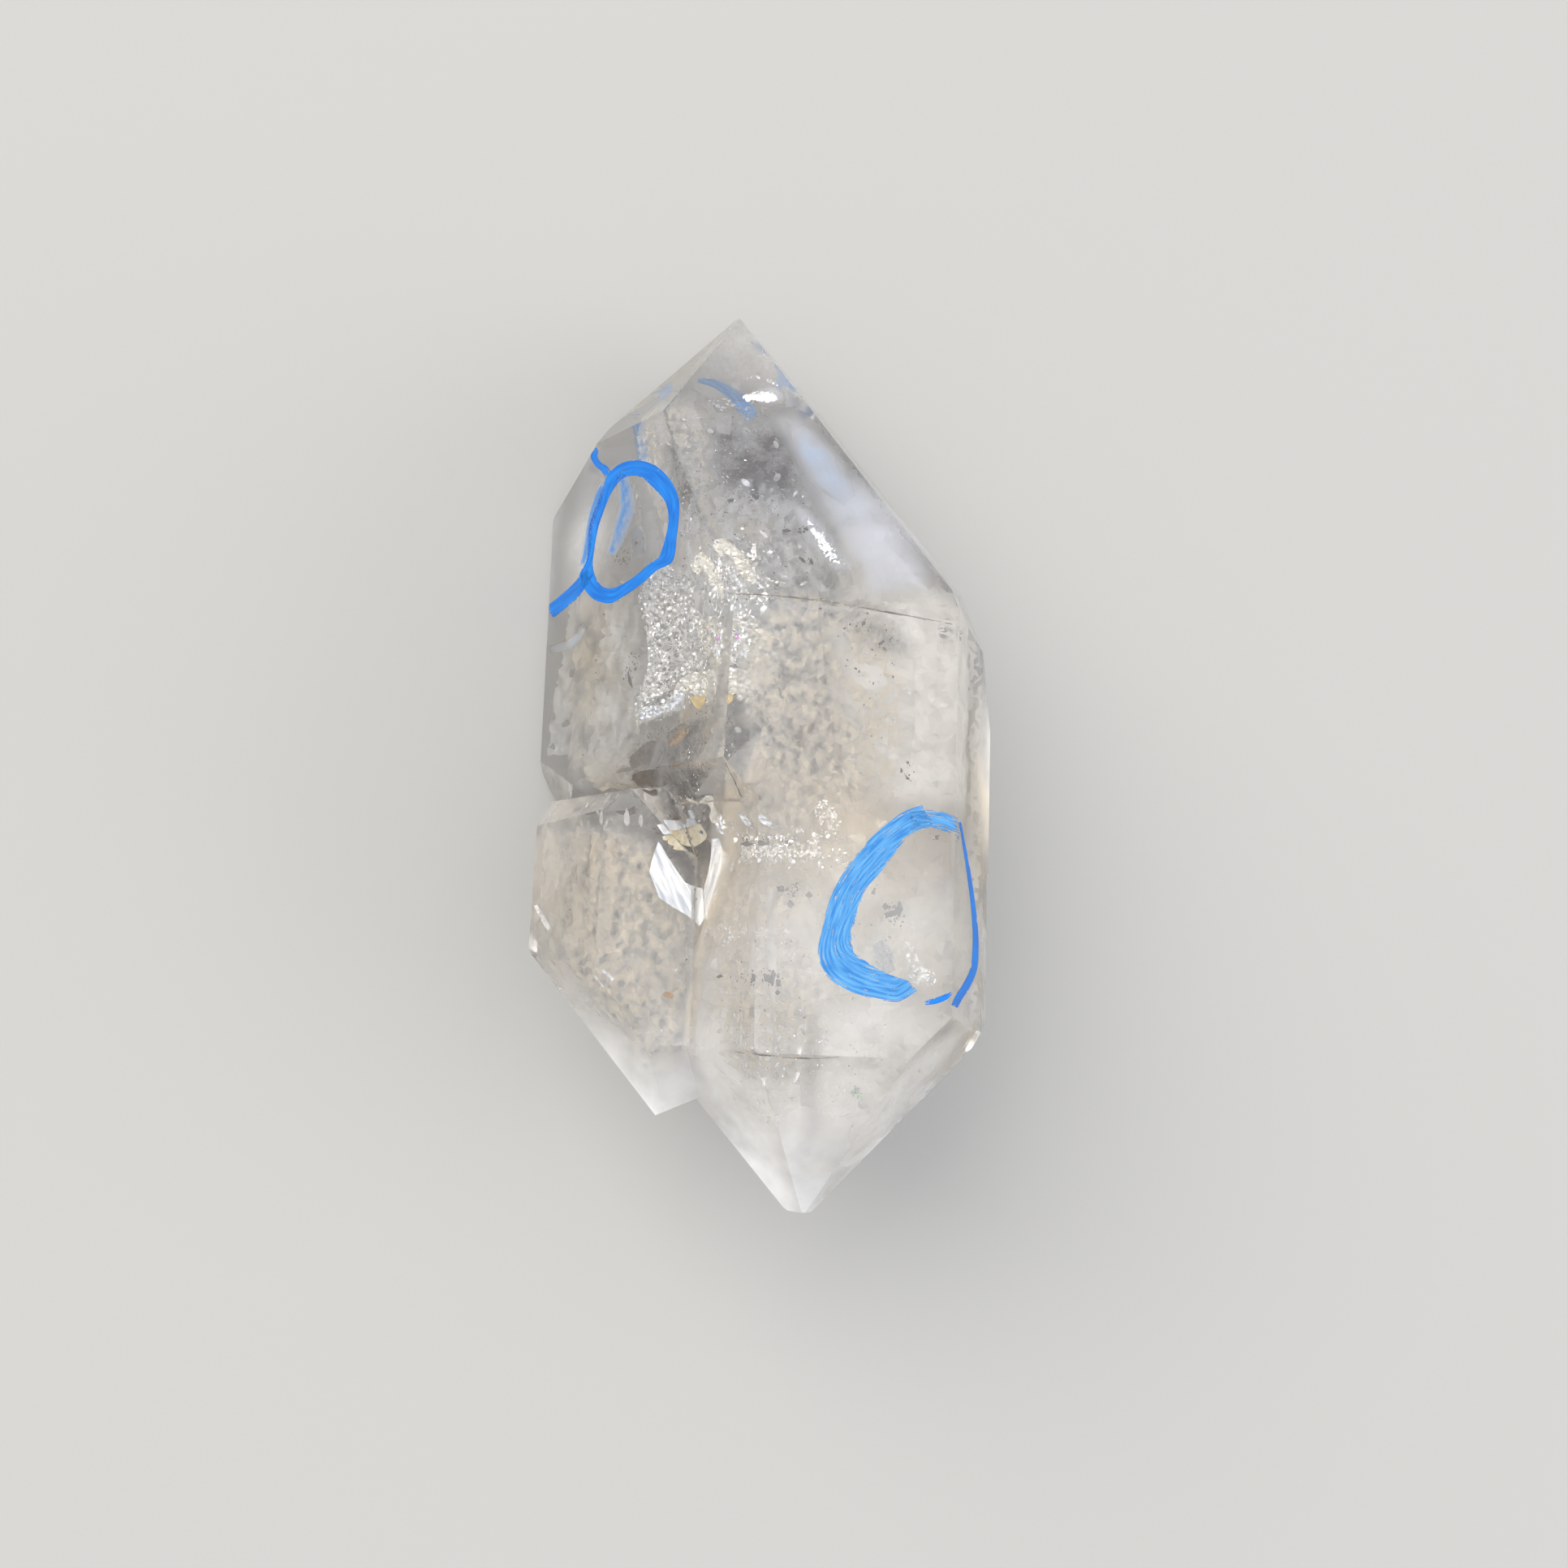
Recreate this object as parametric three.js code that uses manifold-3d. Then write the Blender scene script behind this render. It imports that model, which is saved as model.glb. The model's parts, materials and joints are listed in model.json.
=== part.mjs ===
// Enhydro quartz double point: three quartz crystals grown side by side and fused into one stone.
// The stone lies on its widest prism face. Millimetres, +Z up, +Y along the crystal axis.

import * as THREE from 'three';
import { mergeVertices } from 'three/addons/utils/BufferGeometryUtils.js';
import Module from 'manifold-3d';

const wasm = await Module();
wasm.setup();

// Driving dimensions

// A crystal is a block cleaved by its faces. Each face is [turn, lean, out]:
// turn is the angle round the long axis, 0 straight up and 90 towards +X, in degrees,
// lean tips the face towards the upper point (+) or the lower point (-), in degrees,
// out is the distance of the face from the growth centre, in millimetres.
const POINT_LEAN = 38.2;
const BLOCK_SIDE = 120;

// The big crystal carries the upper point and the flat face that the stone rests on.
const REST_DEPTH = 13.0;
const UPPER = {
  front_prism: [0, 1, 10.0],
  right_prism: [63, 1, 13.3],
  right_back_prism: [120, 0, 10.35],
  rest_prism: [180, 0, REST_DEPTH],
  left_back_prism: [-120, -2, 18.0],
  left_prism: [-62, 1, 7.4],
  left_curve: [-71, -0.6, 9.0],
  left_shoulder: [-67.2, 3.2, 9.15],
  left_back_shoulder: [-85, 30, 20.6],
  right_shoulder: [66, 22, 15.0],
  right_back_shoulder: [105, 19, 12.75],
  front_point: [1.5, 33.5, 12.6],
  right_point: [60, POINT_LEAN + 0.5, 15.9],
  right_back_point: [120, POINT_LEAN, 20.35],
  back_point: [180, POINT_LEAN, 24.7],
  left_back_point: [-112, 44.8, 25.94],
  left_point: [-61, POINT_LEAN, 19.15],
  left_under: [-63.5, -POINT_LEAN, 6.7],
  left_foot: [-78, -18.8, 9.85],
  left_back_under: [-120, -POINT_LEAN, 13.8],
  back_under: [180, -POINT_LEAN, 15.6],
  front_under: [0, -POINT_LEAN, 14.0],
  right_under: [60, -POINT_LEAN, 14.0],
  right_back_under: [120, -POINT_LEAN, 12.5],
};

// The second crystal carries the lower point. It shares the front and right faces.
const LOWER = {
  front_prism: UPPER.front_prism,
  right_prism: UPPER.right_prism,
  right_back_prism: UPPER.right_back_prism,
  back_prism: [180, 0, 9.0],
  left_back_prism: [-120, 0, 3.9],
  left_prism: [-60, -1, 6.2],
  right_heel: [80, -25, 19.0],
  front_point: [0.5, -POINT_LEAN, 18.9],
  right_point: [59.5, -POINT_LEAN - 1, 20.2],
  right_back_point: [120, -POINT_LEAN, 17.9],
  back_point: [180, -POINT_LEAN, 14.5],
  left_back_point: [-120, -POINT_LEAN, 13.78],
  left_point: [-58.5, -POINT_LEAN, 15.5],
  front_top: UPPER.front_point,
  right_top: UPPER.right_point,
  right_back_top: UPPER.right_back_point,
  right_shoulder: UPPER.right_shoulder,
  right_back_shoulder: UPPER.right_back_shoulder,
  worn_tip: [0, -90, 26.3],
  left_top: [-60, POINT_LEAN, 12.0],
  back_top: [180, POINT_LEAN, 10.0],
};

// The small crystal is grown onto the lower left side, with a point at each end.
const SIDE = {
  front_prism: [0, 0, 5.0],
  right_prism: [60, 0, 2.0],
  right_back_prism: [120, 0, 2.0],
  back_prism: [180, 0, 7.0],
  left_back_prism: [-120, 0, 12.1],
  left_prism: [-56.5, -0.5, 10.85],
  front_top: [0, POINT_LEAN, 2.2],
  right_top: [36, 30, -2.0],
  left_top: [-59.5, POINT_LEAN, 6.05],
  top_cap: [-57.4, 78, -0.7],
  left_back_top: [-120, POINT_LEAN, 8.0],
  back_top: [180, POINT_LEAN, 8.0],
  front_point: [0.5, -40, 14.9],
  left_point: [-62, -35.5, 16.45],
  left_back_point: [-120, -39.5, 16.9],
  back_point: [180, -POINT_LEAN, 17.0],
  right_cut: [83.5, -65, 17.1],
};

// Growth ledges on the big crystal: each layer stands one rise further out on the prism face
// than the one under it, and stops short of the point face by its setback.
const LEDGE_RISE = 0.12;
const LEDGES = [
  { prism: 'left_prism', point: 'left_point', setbacks: [0.5, 1.3] },
  { prism: 'right_back_prism', point: 'right_back_point', setbacks: [1.6, 3.4] },
];

// An etched pit on the edge between the front and the right prism faces.
const PIT = { x: 12.25, y: 8.3, z: 9.85, wide: 0.45, long: 1.15, deep: 0.45 };

const COLOUR = 0xd8d2c8;
const ROUGHNESS = 0.06;
const NODE_NAME = 'quartz_crystal';

// Making solids

function toManifold(geometry) {
  geometry.deleteAttribute('normal');
  geometry.deleteAttribute('uv');
  const merged = mergeVertices(geometry, 1e-5);
  const mesh = new wasm.Mesh({
    numProp: 3,
    vertProperties: new Float32Array(merged.attributes.position.array),
    triVerts: new Uint32Array(merged.index.array),
  });
  mesh.merge();
  return new wasm.Manifold(mesh);
}

function toGeometry(solid) {
  const mesh = solid.getMesh();
  const geometry = new THREE.BufferGeometry();
  geometry.setAttribute('position', new THREE.BufferAttribute(mesh.vertProperties, 3));
  geometry.setIndex(new THREE.BufferAttribute(mesh.triVerts, 1));
  return geometry;
}

function faceNormal(turn, lean) {
  const round = THREE.MathUtils.degToRad(turn);
  const tip = THREE.MathUtils.degToRad(lean);
  return new THREE.Vector3(
    Math.sin(round) * Math.cos(tip),
    Math.sin(tip),
    Math.cos(round) * Math.cos(tip),
  );
}

function cleave(faces) {
  let block = toManifold(new THREE.BoxGeometry(BLOCK_SIDE, BLOCK_SIDE, BLOCK_SIDE));
  for (const [turn, lean, out] of Object.values(faces)) {
    const inward = faceNormal(turn, lean).negate();
    block = block.trimByPlane([inward.x, inward.y, inward.z], -out);
  }
  return block;
}

function moveFace([turn, lean, out], distance) {
  return [turn, lean, out + distance];
}

function growthLayer(prism, point, rise, setback) {
  const layer = { ...UPPER };
  layer[prism] = moveFace(UPPER[prism], rise);
  layer[point] = moveFace(UPPER[point], -setback);
  return cleave(layer);
}

function etchPit() {
  const bowl = new THREE.SphereGeometry(0.5, 12, 8);
  bowl.scale(PIT.wide, PIT.long, PIT.deep);
  bowl.translate(PIT.x, PIT.y, PIT.z);
  return toManifold(bowl);
}

// The stone

let stone = cleave(UPPER).add(cleave(LOWER)).add(cleave(SIDE));
for (const { prism, point, setbacks } of LEDGES) {
  setbacks.forEach((setback, index) => {
    const rise = (index + 1) * LEDGE_RISE;
    stone = stone.add(growthLayer(prism, point, rise, setback));
  });
}
stone = stone.subtract(etchPit());

const geometry = toGeometry(stone);
geometry.computeBoundingBox();
const box = geometry.boundingBox;
const middle = box.getCenter(new THREE.Vector3());
geometry.translate(-middle.x, -middle.y, -box.min.z);

const crystal = new THREE.Mesh(
  geometry,
  new THREE.MeshStandardMaterial({ color: COLOUR, roughness: ROUGHNESS, metalness: 0 }),
);
crystal.name = NODE_NAME;

const group = new THREE.Group();
group.add(crystal);
export default group;
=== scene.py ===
"""Enhydro quartz double point: the looks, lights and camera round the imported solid.

Three quartz crystals are fused into one clear stone. Inside it are healed cracks, iron stains, dark
grains and two pockets of fluid, and blue marker rings on its faces show where the pockets are.
Sizes are in millimetres until a mesh is made, and then in metres.
"""

import json
import logging
import math
from collections.abc import Iterator, Sequence
from dataclasses import dataclass, field
from enum import Enum

import bmesh
import bpy
import numpy as np
from bpy.types import ID, Material, Mesh, Node, NodeSocket, NodeTree, Object, bpy_prop_collection
from mathutils import Matrix, Vector, geometry, noise
from mathutils.bvhtree import BVHTree

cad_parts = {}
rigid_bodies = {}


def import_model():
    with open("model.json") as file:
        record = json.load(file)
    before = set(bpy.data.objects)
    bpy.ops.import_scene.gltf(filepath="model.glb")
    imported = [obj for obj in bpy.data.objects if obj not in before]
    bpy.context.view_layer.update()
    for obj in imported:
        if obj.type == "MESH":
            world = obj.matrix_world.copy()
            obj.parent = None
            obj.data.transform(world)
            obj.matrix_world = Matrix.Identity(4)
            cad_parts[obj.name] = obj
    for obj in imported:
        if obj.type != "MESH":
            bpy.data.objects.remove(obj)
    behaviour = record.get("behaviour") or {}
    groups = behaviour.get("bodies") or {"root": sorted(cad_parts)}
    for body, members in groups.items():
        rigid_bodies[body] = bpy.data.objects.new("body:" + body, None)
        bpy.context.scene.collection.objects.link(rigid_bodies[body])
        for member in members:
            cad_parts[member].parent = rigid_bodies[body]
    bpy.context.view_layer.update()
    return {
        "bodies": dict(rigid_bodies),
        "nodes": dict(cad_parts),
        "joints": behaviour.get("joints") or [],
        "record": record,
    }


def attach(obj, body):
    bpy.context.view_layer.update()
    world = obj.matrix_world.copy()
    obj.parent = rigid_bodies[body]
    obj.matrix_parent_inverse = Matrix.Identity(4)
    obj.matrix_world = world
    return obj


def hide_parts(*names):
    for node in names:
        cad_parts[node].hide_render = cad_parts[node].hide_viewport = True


LOG = logging.getLogger("quartz")
MM = 0.001
BODY = "root"
NODE = "quartz_crystal"
QUARTZ_IOR = 1.544

# Sockets that share a name: of a Mix node set to colours and a Random Value node set to numbers.
MIX_FROM, MIX_TO, MIXED = 6, 7, 2
LEAST, MOST, DRAWN = 2, 3, 1

# The span that a noise texture mostly stays in.
NOISE_LOW, NOISE_HIGH = 0.3, 0.7

# The map on sheets and ink that runs along and across them, in metres.
STROKE_MAP = "stroke"
RIM = "rim"

FramePoint = tuple[float, float]
PenPoint = tuple[float, float, float]
NodeInputs = dict[str | int, object]


def linear(hex_colour: str) -> tuple[float, float, float, float]:
    """Turn an sRGB hex colour to linear light.

    Args:
        hex_colour: six hex digits after a hash sign.
    Returns:
        Red, green, blue and an alpha of one.
    """
    parts = [int(hex_colour[i:i + 2], 16) / 255 for i in (1, 3, 5)]
    red, green, blue = (c / 12.92 if c <= 0.04045 else ((c + 0.055) / 1.055) ** 2.4 for c in parts)
    return red, green, blue, 1.0


def per_metre(size_mm: float) -> float:
    """Return the texture scale that repeats once in size_mm on Object coordinates."""
    return 1 / (size_mm * MM)


def add_node(tree: NodeTree, kind: str, inputs: NodeInputs | None = None,
             **settings: object) -> Node:
    """Add a node with its settings and links.

    Args:
        tree: the node tree that takes it.
        kind: the node's type name.
        inputs: for each input, by name or number, a value or the output socket to link.
        settings: the node's own properties.
    Returns:
        The new node.
    """
    node = tree.nodes.new(kind)
    for name, value in settings.items():
        setattr(node, name, value)
    for key, value in (inputs or {}).items():
        if isinstance(value, NodeSocket):
            tree.links.new(value, node.inputs[key])
        else:
            node.inputs[key].default_value = value
    return node


def link_new(name: str, data: ID) -> Object:
    """Put new data into the scene and return its object."""
    bpy.context.collection.objects.link(made := bpy.data.objects.new(name, data))
    return made


def new_material(name: str) -> tuple[Material, NodeTree, Node]:
    """Make an empty node material.

    Args:
        name: what the real material is and how its surface was made.
    Returns:
        The material, its node tree and its output node.
    """
    material = bpy.data.materials.new(name)
    material.use_nodes = True
    tree = material.node_tree
    tree.nodes.clear()
    return material, tree, add_node(tree, "ShaderNodeOutputMaterial")


@dataclass(frozen=True)
class Zone:
    """A soft ball of milk or tint in the stone: its middle, its reach and its strength."""

    middle: tuple[float, float, float]
    reach: float
    strength: float


@dataclass(frozen=True)
class ClearQuartz:
    """Rock crystal with natural growth faces: glassy and barely wavy.

    It is milky near its points and honey-tinted on the right, with a painted lavender reflection on its
    upper faces and a painted highlight of milk on its left strip, and thick places have a warm cast.
    """

    name: str = "rock_crystal_natural_faces"
    cast: str = "#EFDCBE"
    cast_per_metre: float = 2.6
    roughness: float = 0.04
    frosted: float = 0.38
    clarity: float = 0.9
    etched_clarity: float = 0.72
    pale: str = "#FDFCFB"
    honey: str = "#F3DFBC"
    lavender: str = "#E6E9F6"
    wave_mm: float = 6.0
    wave_height: float = 0.06
    wave_strength: float = 0.2
    cloud_mm: float = 5.0
    cloud_thin: float = 0.4
    cloud_thick: float = 1.3
    etched_from: float = 0.1
    etched_by: float = -0.3
    honey_zones: tuple[Zone, ...] = (
        Zone((9.0, -9.0, 14.0), 10.0, 0.25), Zone((3.0, -9.0, 17.0), 9.0, 0.6),
        Zone((8.0, -3.0, 17.0), 6.0, 0.4), Zone((0.5, -11.0, 18.0), 7.0, 0.5),
        Zone((5.0, -8.0, 20.0), 6.0, 0.5), Zone((13.0, -5.0, 16.0), 9.0, 0.6),
        Zone((-9.0, -9.0, 12.0), 9.0, 0.45), Zone((-12.0, 6.0, 8.0), 9.0, 0.5),
        Zone((-1.2, -5.5, 20.0), 2.5, 0.6))
    # Painted reflection: a cool lavender tint that stands in for the light mirrored in the upper faces.
    lavender_reflection_zones: tuple[Zone, ...] = (
        Zone((8.5, 11.5, 16.0), 8.0, 0.8), Zone((-1.0, 14.0, 14.0), 9.0, 0.6))
    # Milky places; the ball at (-13, 12, 7) is a painted highlight, milk that whitens the left strip.
    milk_and_highlight_zones: tuple[Zone, ...] = (
        Zone((9.0, 10.0, 15.0), 8.0, 0.5), Zone((1.0, -28.0, 12.0), 15.0, 0.62),
        Zone((-7.0, -22.0, 10.0), 10.0, 0.55), Zone((0.0, 27.0, 9.0), 8.0, 0.15),
        Zone((13.5, -2.0, 9.0), 12.0, 0.75), Zone((4.0, -13.0, 19.0), 10.0, 0.4),
        Zone((13.0, -15.0, 10.0), 10.0, 0.5), Zone((-13.0, 12.0, 7.0), 6.0, 0.4),
        Zone((-13.0, -8.0, 12.0), 7.0, 0.2), Zone((14.0, -3.0, 15.0), 7.0, 0.6),
        Zone((6.0, -18.0, 17.0), 8.0, 0.3))

    def zone_mask(self, tree: NodeTree, place: NodeSocket,
                  zones: tuple[Zone, ...]) -> NodeSocket:
        """Add up soft balls.

        Args:
            tree: the material's tree.
            place: the socket with Object coordinates.
            zones: the balls.
        Returns:
            The socket with their sum at each place.
        """
        total = None
        for zone in zones:
            away = add_node(tree, "ShaderNodeVectorMath", {
                0: place, 1: [c * MM for c in zone.middle]}, operation="DISTANCE")
            amount = add_node(tree, "ShaderNodeMapRange", {
                "Value": away.outputs["Value"], "From Min": zone.reach * MM, "From Max": 0.0,
                "To Min": 0.0, "To Max": zone.strength}, interpolation_type="SMOOTHSTEP")
            result = amount.outputs["Result"]
            if total is not None:
                result = add_node(tree, "ShaderNodeMath", {0: total, 1: result}).outputs["Value"]
            total = result
        return total

    def material(self) -> Material:
        """Make the material.

        Returns:
            A clear material with milky and honey-tinted places, a painted lavender reflection, a painted
            highlight of milk and an even absorption.
        """
        material, tree, out = new_material(self.name)
        place = add_node(tree, "ShaderNodeTexCoord").outputs["Object"]
        wave = add_node(tree, "ShaderNodeTexNoise", {
            "Vector": place, "Scale": per_metre(self.wave_mm), "Detail": 2.0})
        cloud = add_node(tree, "ShaderNodeTexNoise", {
            "Vector": place, "Scale": per_metre(self.cloud_mm), "Detail": 4.0})
        relief = add_node(tree, "ShaderNodeBump", {
            "Height": wave.outputs["Fac"], "Strength": self.wave_strength,
            "Distance": self.wave_height * MM})
        patchy = add_node(tree, "ShaderNodeMapRange", {
            "Value": cloud.outputs["Fac"], "From Min": NOISE_LOW, "From Max": NOISE_HIGH,
            "To Min": self.cloud_thin, "To Max": self.cloud_thick})
        honey = add_node(tree, "ShaderNodeMath", {
            0: self.zone_mask(tree, place, self.honey_zones), 1: patchy.outputs["Result"]},
            operation="MULTIPLY", use_clamp=True)
        warm = add_node(tree, "ShaderNodeMix", {
            "Factor": honey.outputs["Value"], MIX_FROM: linear(self.pale),
            MIX_TO: linear(self.honey)}, data_type="RGBA")
        # Painted reflection: the lavender tint on the upper faces.
        tint = add_node(tree, "ShaderNodeMix", {
            "Factor": self.zone_mask(tree, place, self.lavender_reflection_zones),
            MIX_FROM: warm.outputs[MIXED], MIX_TO: linear(self.lavender)}, data_type="RGBA")
        milk = add_node(tree, "ShaderNodeMath", {
            0: self.zone_mask(tree, place, self.milk_and_highlight_zones), 1: patchy.outputs["Result"]},
            operation="MULTIPLY")
        facing = add_node(tree, "ShaderNodeSeparateXYZ", {
            "Vector": add_node(tree, "ShaderNodeTexCoord").outputs["Normal"]})
        etched = add_node(tree, "ShaderNodeMapRange", {
            "Value": facing.outputs["Z"], "From Min": self.etched_from,
            "From Max": self.etched_by, "To Min": self.roughness,
            "To Max": self.frosted}, interpolation_type="SMOOTHSTEP")
        glassy = add_node(tree, "ShaderNodeMapRange", {
            "Value": facing.outputs["Z"], "From Min": self.etched_from,
            "From Max": self.etched_by, "To Min": self.clarity,
            "To Max": self.etched_clarity}, interpolation_type="SMOOTHSTEP")
        clear = add_node(tree, "ShaderNodeMath", {
            0: glassy.outputs["Result"], 1: milk.outputs["Value"]},
            operation="SUBTRACT", use_clamp=True)
        shader = add_node(tree, "ShaderNodeBsdfPrincipled", {
            "Base Color": tint.outputs[MIXED], "Roughness": etched.outputs["Result"],
            "IOR": QUARTZ_IOR, "Transmission Weight": clear.outputs["Value"],
            "Normal": relief.outputs["Normal"]})
        cast = add_node(tree, "ShaderNodeVolumeAbsorption", {
            "Color": linear(self.cast), "Density": self.cast_per_metre})
        tree.links.new(shader.outputs["BSDF"], out.inputs["Surface"])
        tree.links.new(cast.outputs["Volume"], out.inputs["Volume"])
        return material


@dataclass(frozen=True)
class MottledFinish:
    """An opaque thing in or on the stone whose colour drifts between two tones.

    The defaults are a crack film: an air-thin sheet that throws light back like silver paper.
    """

    name: str = "healed_crack_silvery_film"
    ground: str = "#FFFFFF"
    patches: str = "#EDEBE6"
    patch_mm: float = 0.5
    roughness: float = 0.22
    metallic: float = 0.6
    reads_stroke: bool = False
    stretch: float = 1.0
    clarity: float = 0.0
    bends_light: float = 1.5
    lean: float = 0.0
    shine: float = 0.5
    patches_from: float = 0.38
    patches_to: float = 0.66
    glossiest: float = 0.8
    dullest: float = 1.3

    def material(self) -> Material:
        """Make the material.

        Returns:
            An opaque material with two drifting tones and uneven gloss.
        """
        material, tree, out = new_material(self.name)
        if self.reads_stroke:
            place = add_node(tree, "ShaderNodeUVMap", uv_map=STROKE_MAP).outputs["UV"]
        else:
            place = add_node(tree, "ShaderNodeTexCoord").outputs["Object"]
        drawn = add_node(tree, "ShaderNodeMapping", {
            "Vector": place, "Rotation": (0.0, 0.0, math.radians(self.lean)),
            "Scale": (self.stretch, 1.0, 1.0)}, vector_type="TEXTURE")
        drift = add_node(tree, "ShaderNodeTexNoise", {
            "Vector": drawn.outputs["Vector"], "Scale": per_metre(self.patch_mm), "Detail": 4.0})
        share = add_node(tree, "ShaderNodeMapRange", {
            "Value": drift.outputs["Fac"], "From Min": self.patches_from,
            "From Max": self.patches_to})
        colour = add_node(tree, "ShaderNodeMix", {
            "Factor": share.outputs["Result"], MIX_FROM: linear(self.ground),
            MIX_TO: linear(self.patches)}, data_type="RGBA")
        gloss = add_node(tree, "ShaderNodeMapRange", {
            "Value": drift.outputs["Fac"], "From Min": NOISE_LOW, "From Max": NOISE_HIGH,
            "To Min": self.roughness * self.glossiest,
            "To Max": min(1.0, self.roughness * self.dullest)})
        shader = add_node(tree, "ShaderNodeBsdfPrincipled", {
            "Base Color": colour.outputs[MIXED], "Roughness": gloss.outputs["Result"],
            "Metallic": self.metallic, "Transmission Weight": self.clarity,
            "IOR": self.bends_light, "Specular IOR Level": self.shine})
        tree.links.new(shader.outputs["BSDF"], out.inputs["Surface"])
        return material


@dataclass(frozen=True)
class PocketFilling:
    """What fills a cavity: its colour, how clear it is, and how it bends light against quartz."""

    name: str
    colour: str
    clarity: float
    against_quartz: float
    roughness: float = 0.05
    swirl_mm: float = 0.6

    def material(self) -> Material:
        """Make the material.

        Returns:
            A clear filling with a faint swirl in its colour.
        """
        material, tree, out = new_material(self.name)
        place = add_node(tree, "ShaderNodeTexCoord").outputs["Object"]
        swirl = add_node(tree, "ShaderNodeTexNoise", {
            "Vector": place, "Scale": per_metre(self.swirl_mm), "Detail": 2.0})
        colour = add_node(tree, "ShaderNodeMix", {
            "Factor": swirl.outputs["Fac"], MIX_FROM: linear(self.colour),
            MIX_TO: linear("#FFFFFF")}, data_type="RGBA")
        shader = add_node(tree, "ShaderNodeBsdfPrincipled", {
            "Base Color": colour.outputs[MIXED], "Roughness": self.roughness,
            "IOR": self.against_quartz, "Transmission Weight": self.clarity})
        tree.links.new(shader.outputs["BSDF"], out.inputs["Surface"])
        return material


@dataclass(frozen=True)
class MilkyFilm:
    """A veil of bubbles too small to see: soft white clouds with clear gaps and no firm rim."""

    name: str
    colour: str
    milk: float
    cloud_mm: float
    stretch: float = 1.0
    thin: float = 0.36
    tinted_from: float = 0.6
    against_quartz: float = 1.02
    roughness: float = 0.3
    grain: float = 0.68
    thickens_over: float = 0.28

    def material(self) -> Material:
        """Make the material.

        Returns:
            A film that is clear where its clouds thin out and at its rim.
        """
        material, tree, out = new_material(self.name)
        place = add_node(tree, "ShaderNodeTexCoord").outputs["Object"]
        drawn = add_node(tree, "ShaderNodeMapping", {
            "Vector": place, "Scale": (1.0, self.stretch, 1.0)}, vector_type="TEXTURE")
        cloud = add_node(tree, "ShaderNodeTexNoise", {
            "Vector": drawn.outputs["Vector"], "Scale": per_metre(self.cloud_mm), "Detail": 8.0,
            "Roughness": self.grain})
        thick = add_node(tree, "ShaderNodeMapRange", {
            "Value": cloud.outputs["Fac"], "From Min": self.thin,
            "From Max": self.thin + self.thickens_over, "To Min": 0.0, "To Max": self.milk})
        rim = add_node(tree, "ShaderNodeAttribute", attribute_name=RIM)
        faded = add_node(tree, "ShaderNodeMapRange", {
            "Value": rim.outputs["Fac"], "From Min": 0.0, "From Max": 1.0,
            "To Min": 1.0, "To Max": 0.0}, interpolation_type="SMOOTHSTEP")
        milk = add_node(tree, "ShaderNodeMath", {
            0: thick.outputs["Result"], 1: faded.outputs["Result"]}, operation="MULTIPLY")
        clear = add_node(tree, "ShaderNodeMath", {0: 1.0, 1: milk.outputs["Value"]},
                         operation="SUBTRACT", use_clamp=True)
        share = add_node(tree, "ShaderNodeMapRange", {
            "Value": milk.outputs["Value"], "From Min": 0.0, "From Max": self.tinted_from})
        tint = add_node(tree, "ShaderNodeMix", {
            "Factor": share.outputs["Result"], MIX_FROM: linear("#FFFFFF"),
            MIX_TO: linear(self.colour)}, data_type="RGBA")
        shader = add_node(tree, "ShaderNodeBsdfPrincipled", {
            "Base Color": tint.outputs[MIXED], "Roughness": self.roughness,
            "IOR": self.against_quartz, "Transmission Weight": clear.outputs["Value"]})
        tree.links.new(shader.outputs["BSDF"], out.inputs["Surface"])
        return material


@dataclass(frozen=True)
class StudioPaper:
    """Matt pale background paper."""

    name: str = "matt_paper_sweep"
    colour: str = "#ACABA8"
    roughness: float = 0.95
    tooth_mm: float = 0.6
    tooth_height: float = 0.02
    tooth_strength: float = 0.03

    def material(self) -> Material:
        """Make the material.

        Returns:
            A rough pale material with a faint tooth.
        """
        material, tree, out = new_material(self.name)
        place = add_node(tree, "ShaderNodeTexCoord").outputs["Object"]
        tooth = add_node(tree, "ShaderNodeTexNoise", {
            "Vector": place, "Scale": per_metre(self.tooth_mm), "Detail": 2.0})
        relief = add_node(tree, "ShaderNodeBump", {
            "Height": tooth.outputs["Fac"], "Strength": self.tooth_strength,
            "Distance": self.tooth_height * MM})
        shader = add_node(tree, "ShaderNodeBsdfPrincipled", {
            "Base Color": linear(self.colour), "Roughness": self.roughness,
            "Normal": relief.outputs["Normal"]})
        tree.links.new(shader.outputs["BSDF"], out.inputs["Surface"])
        return material


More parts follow.
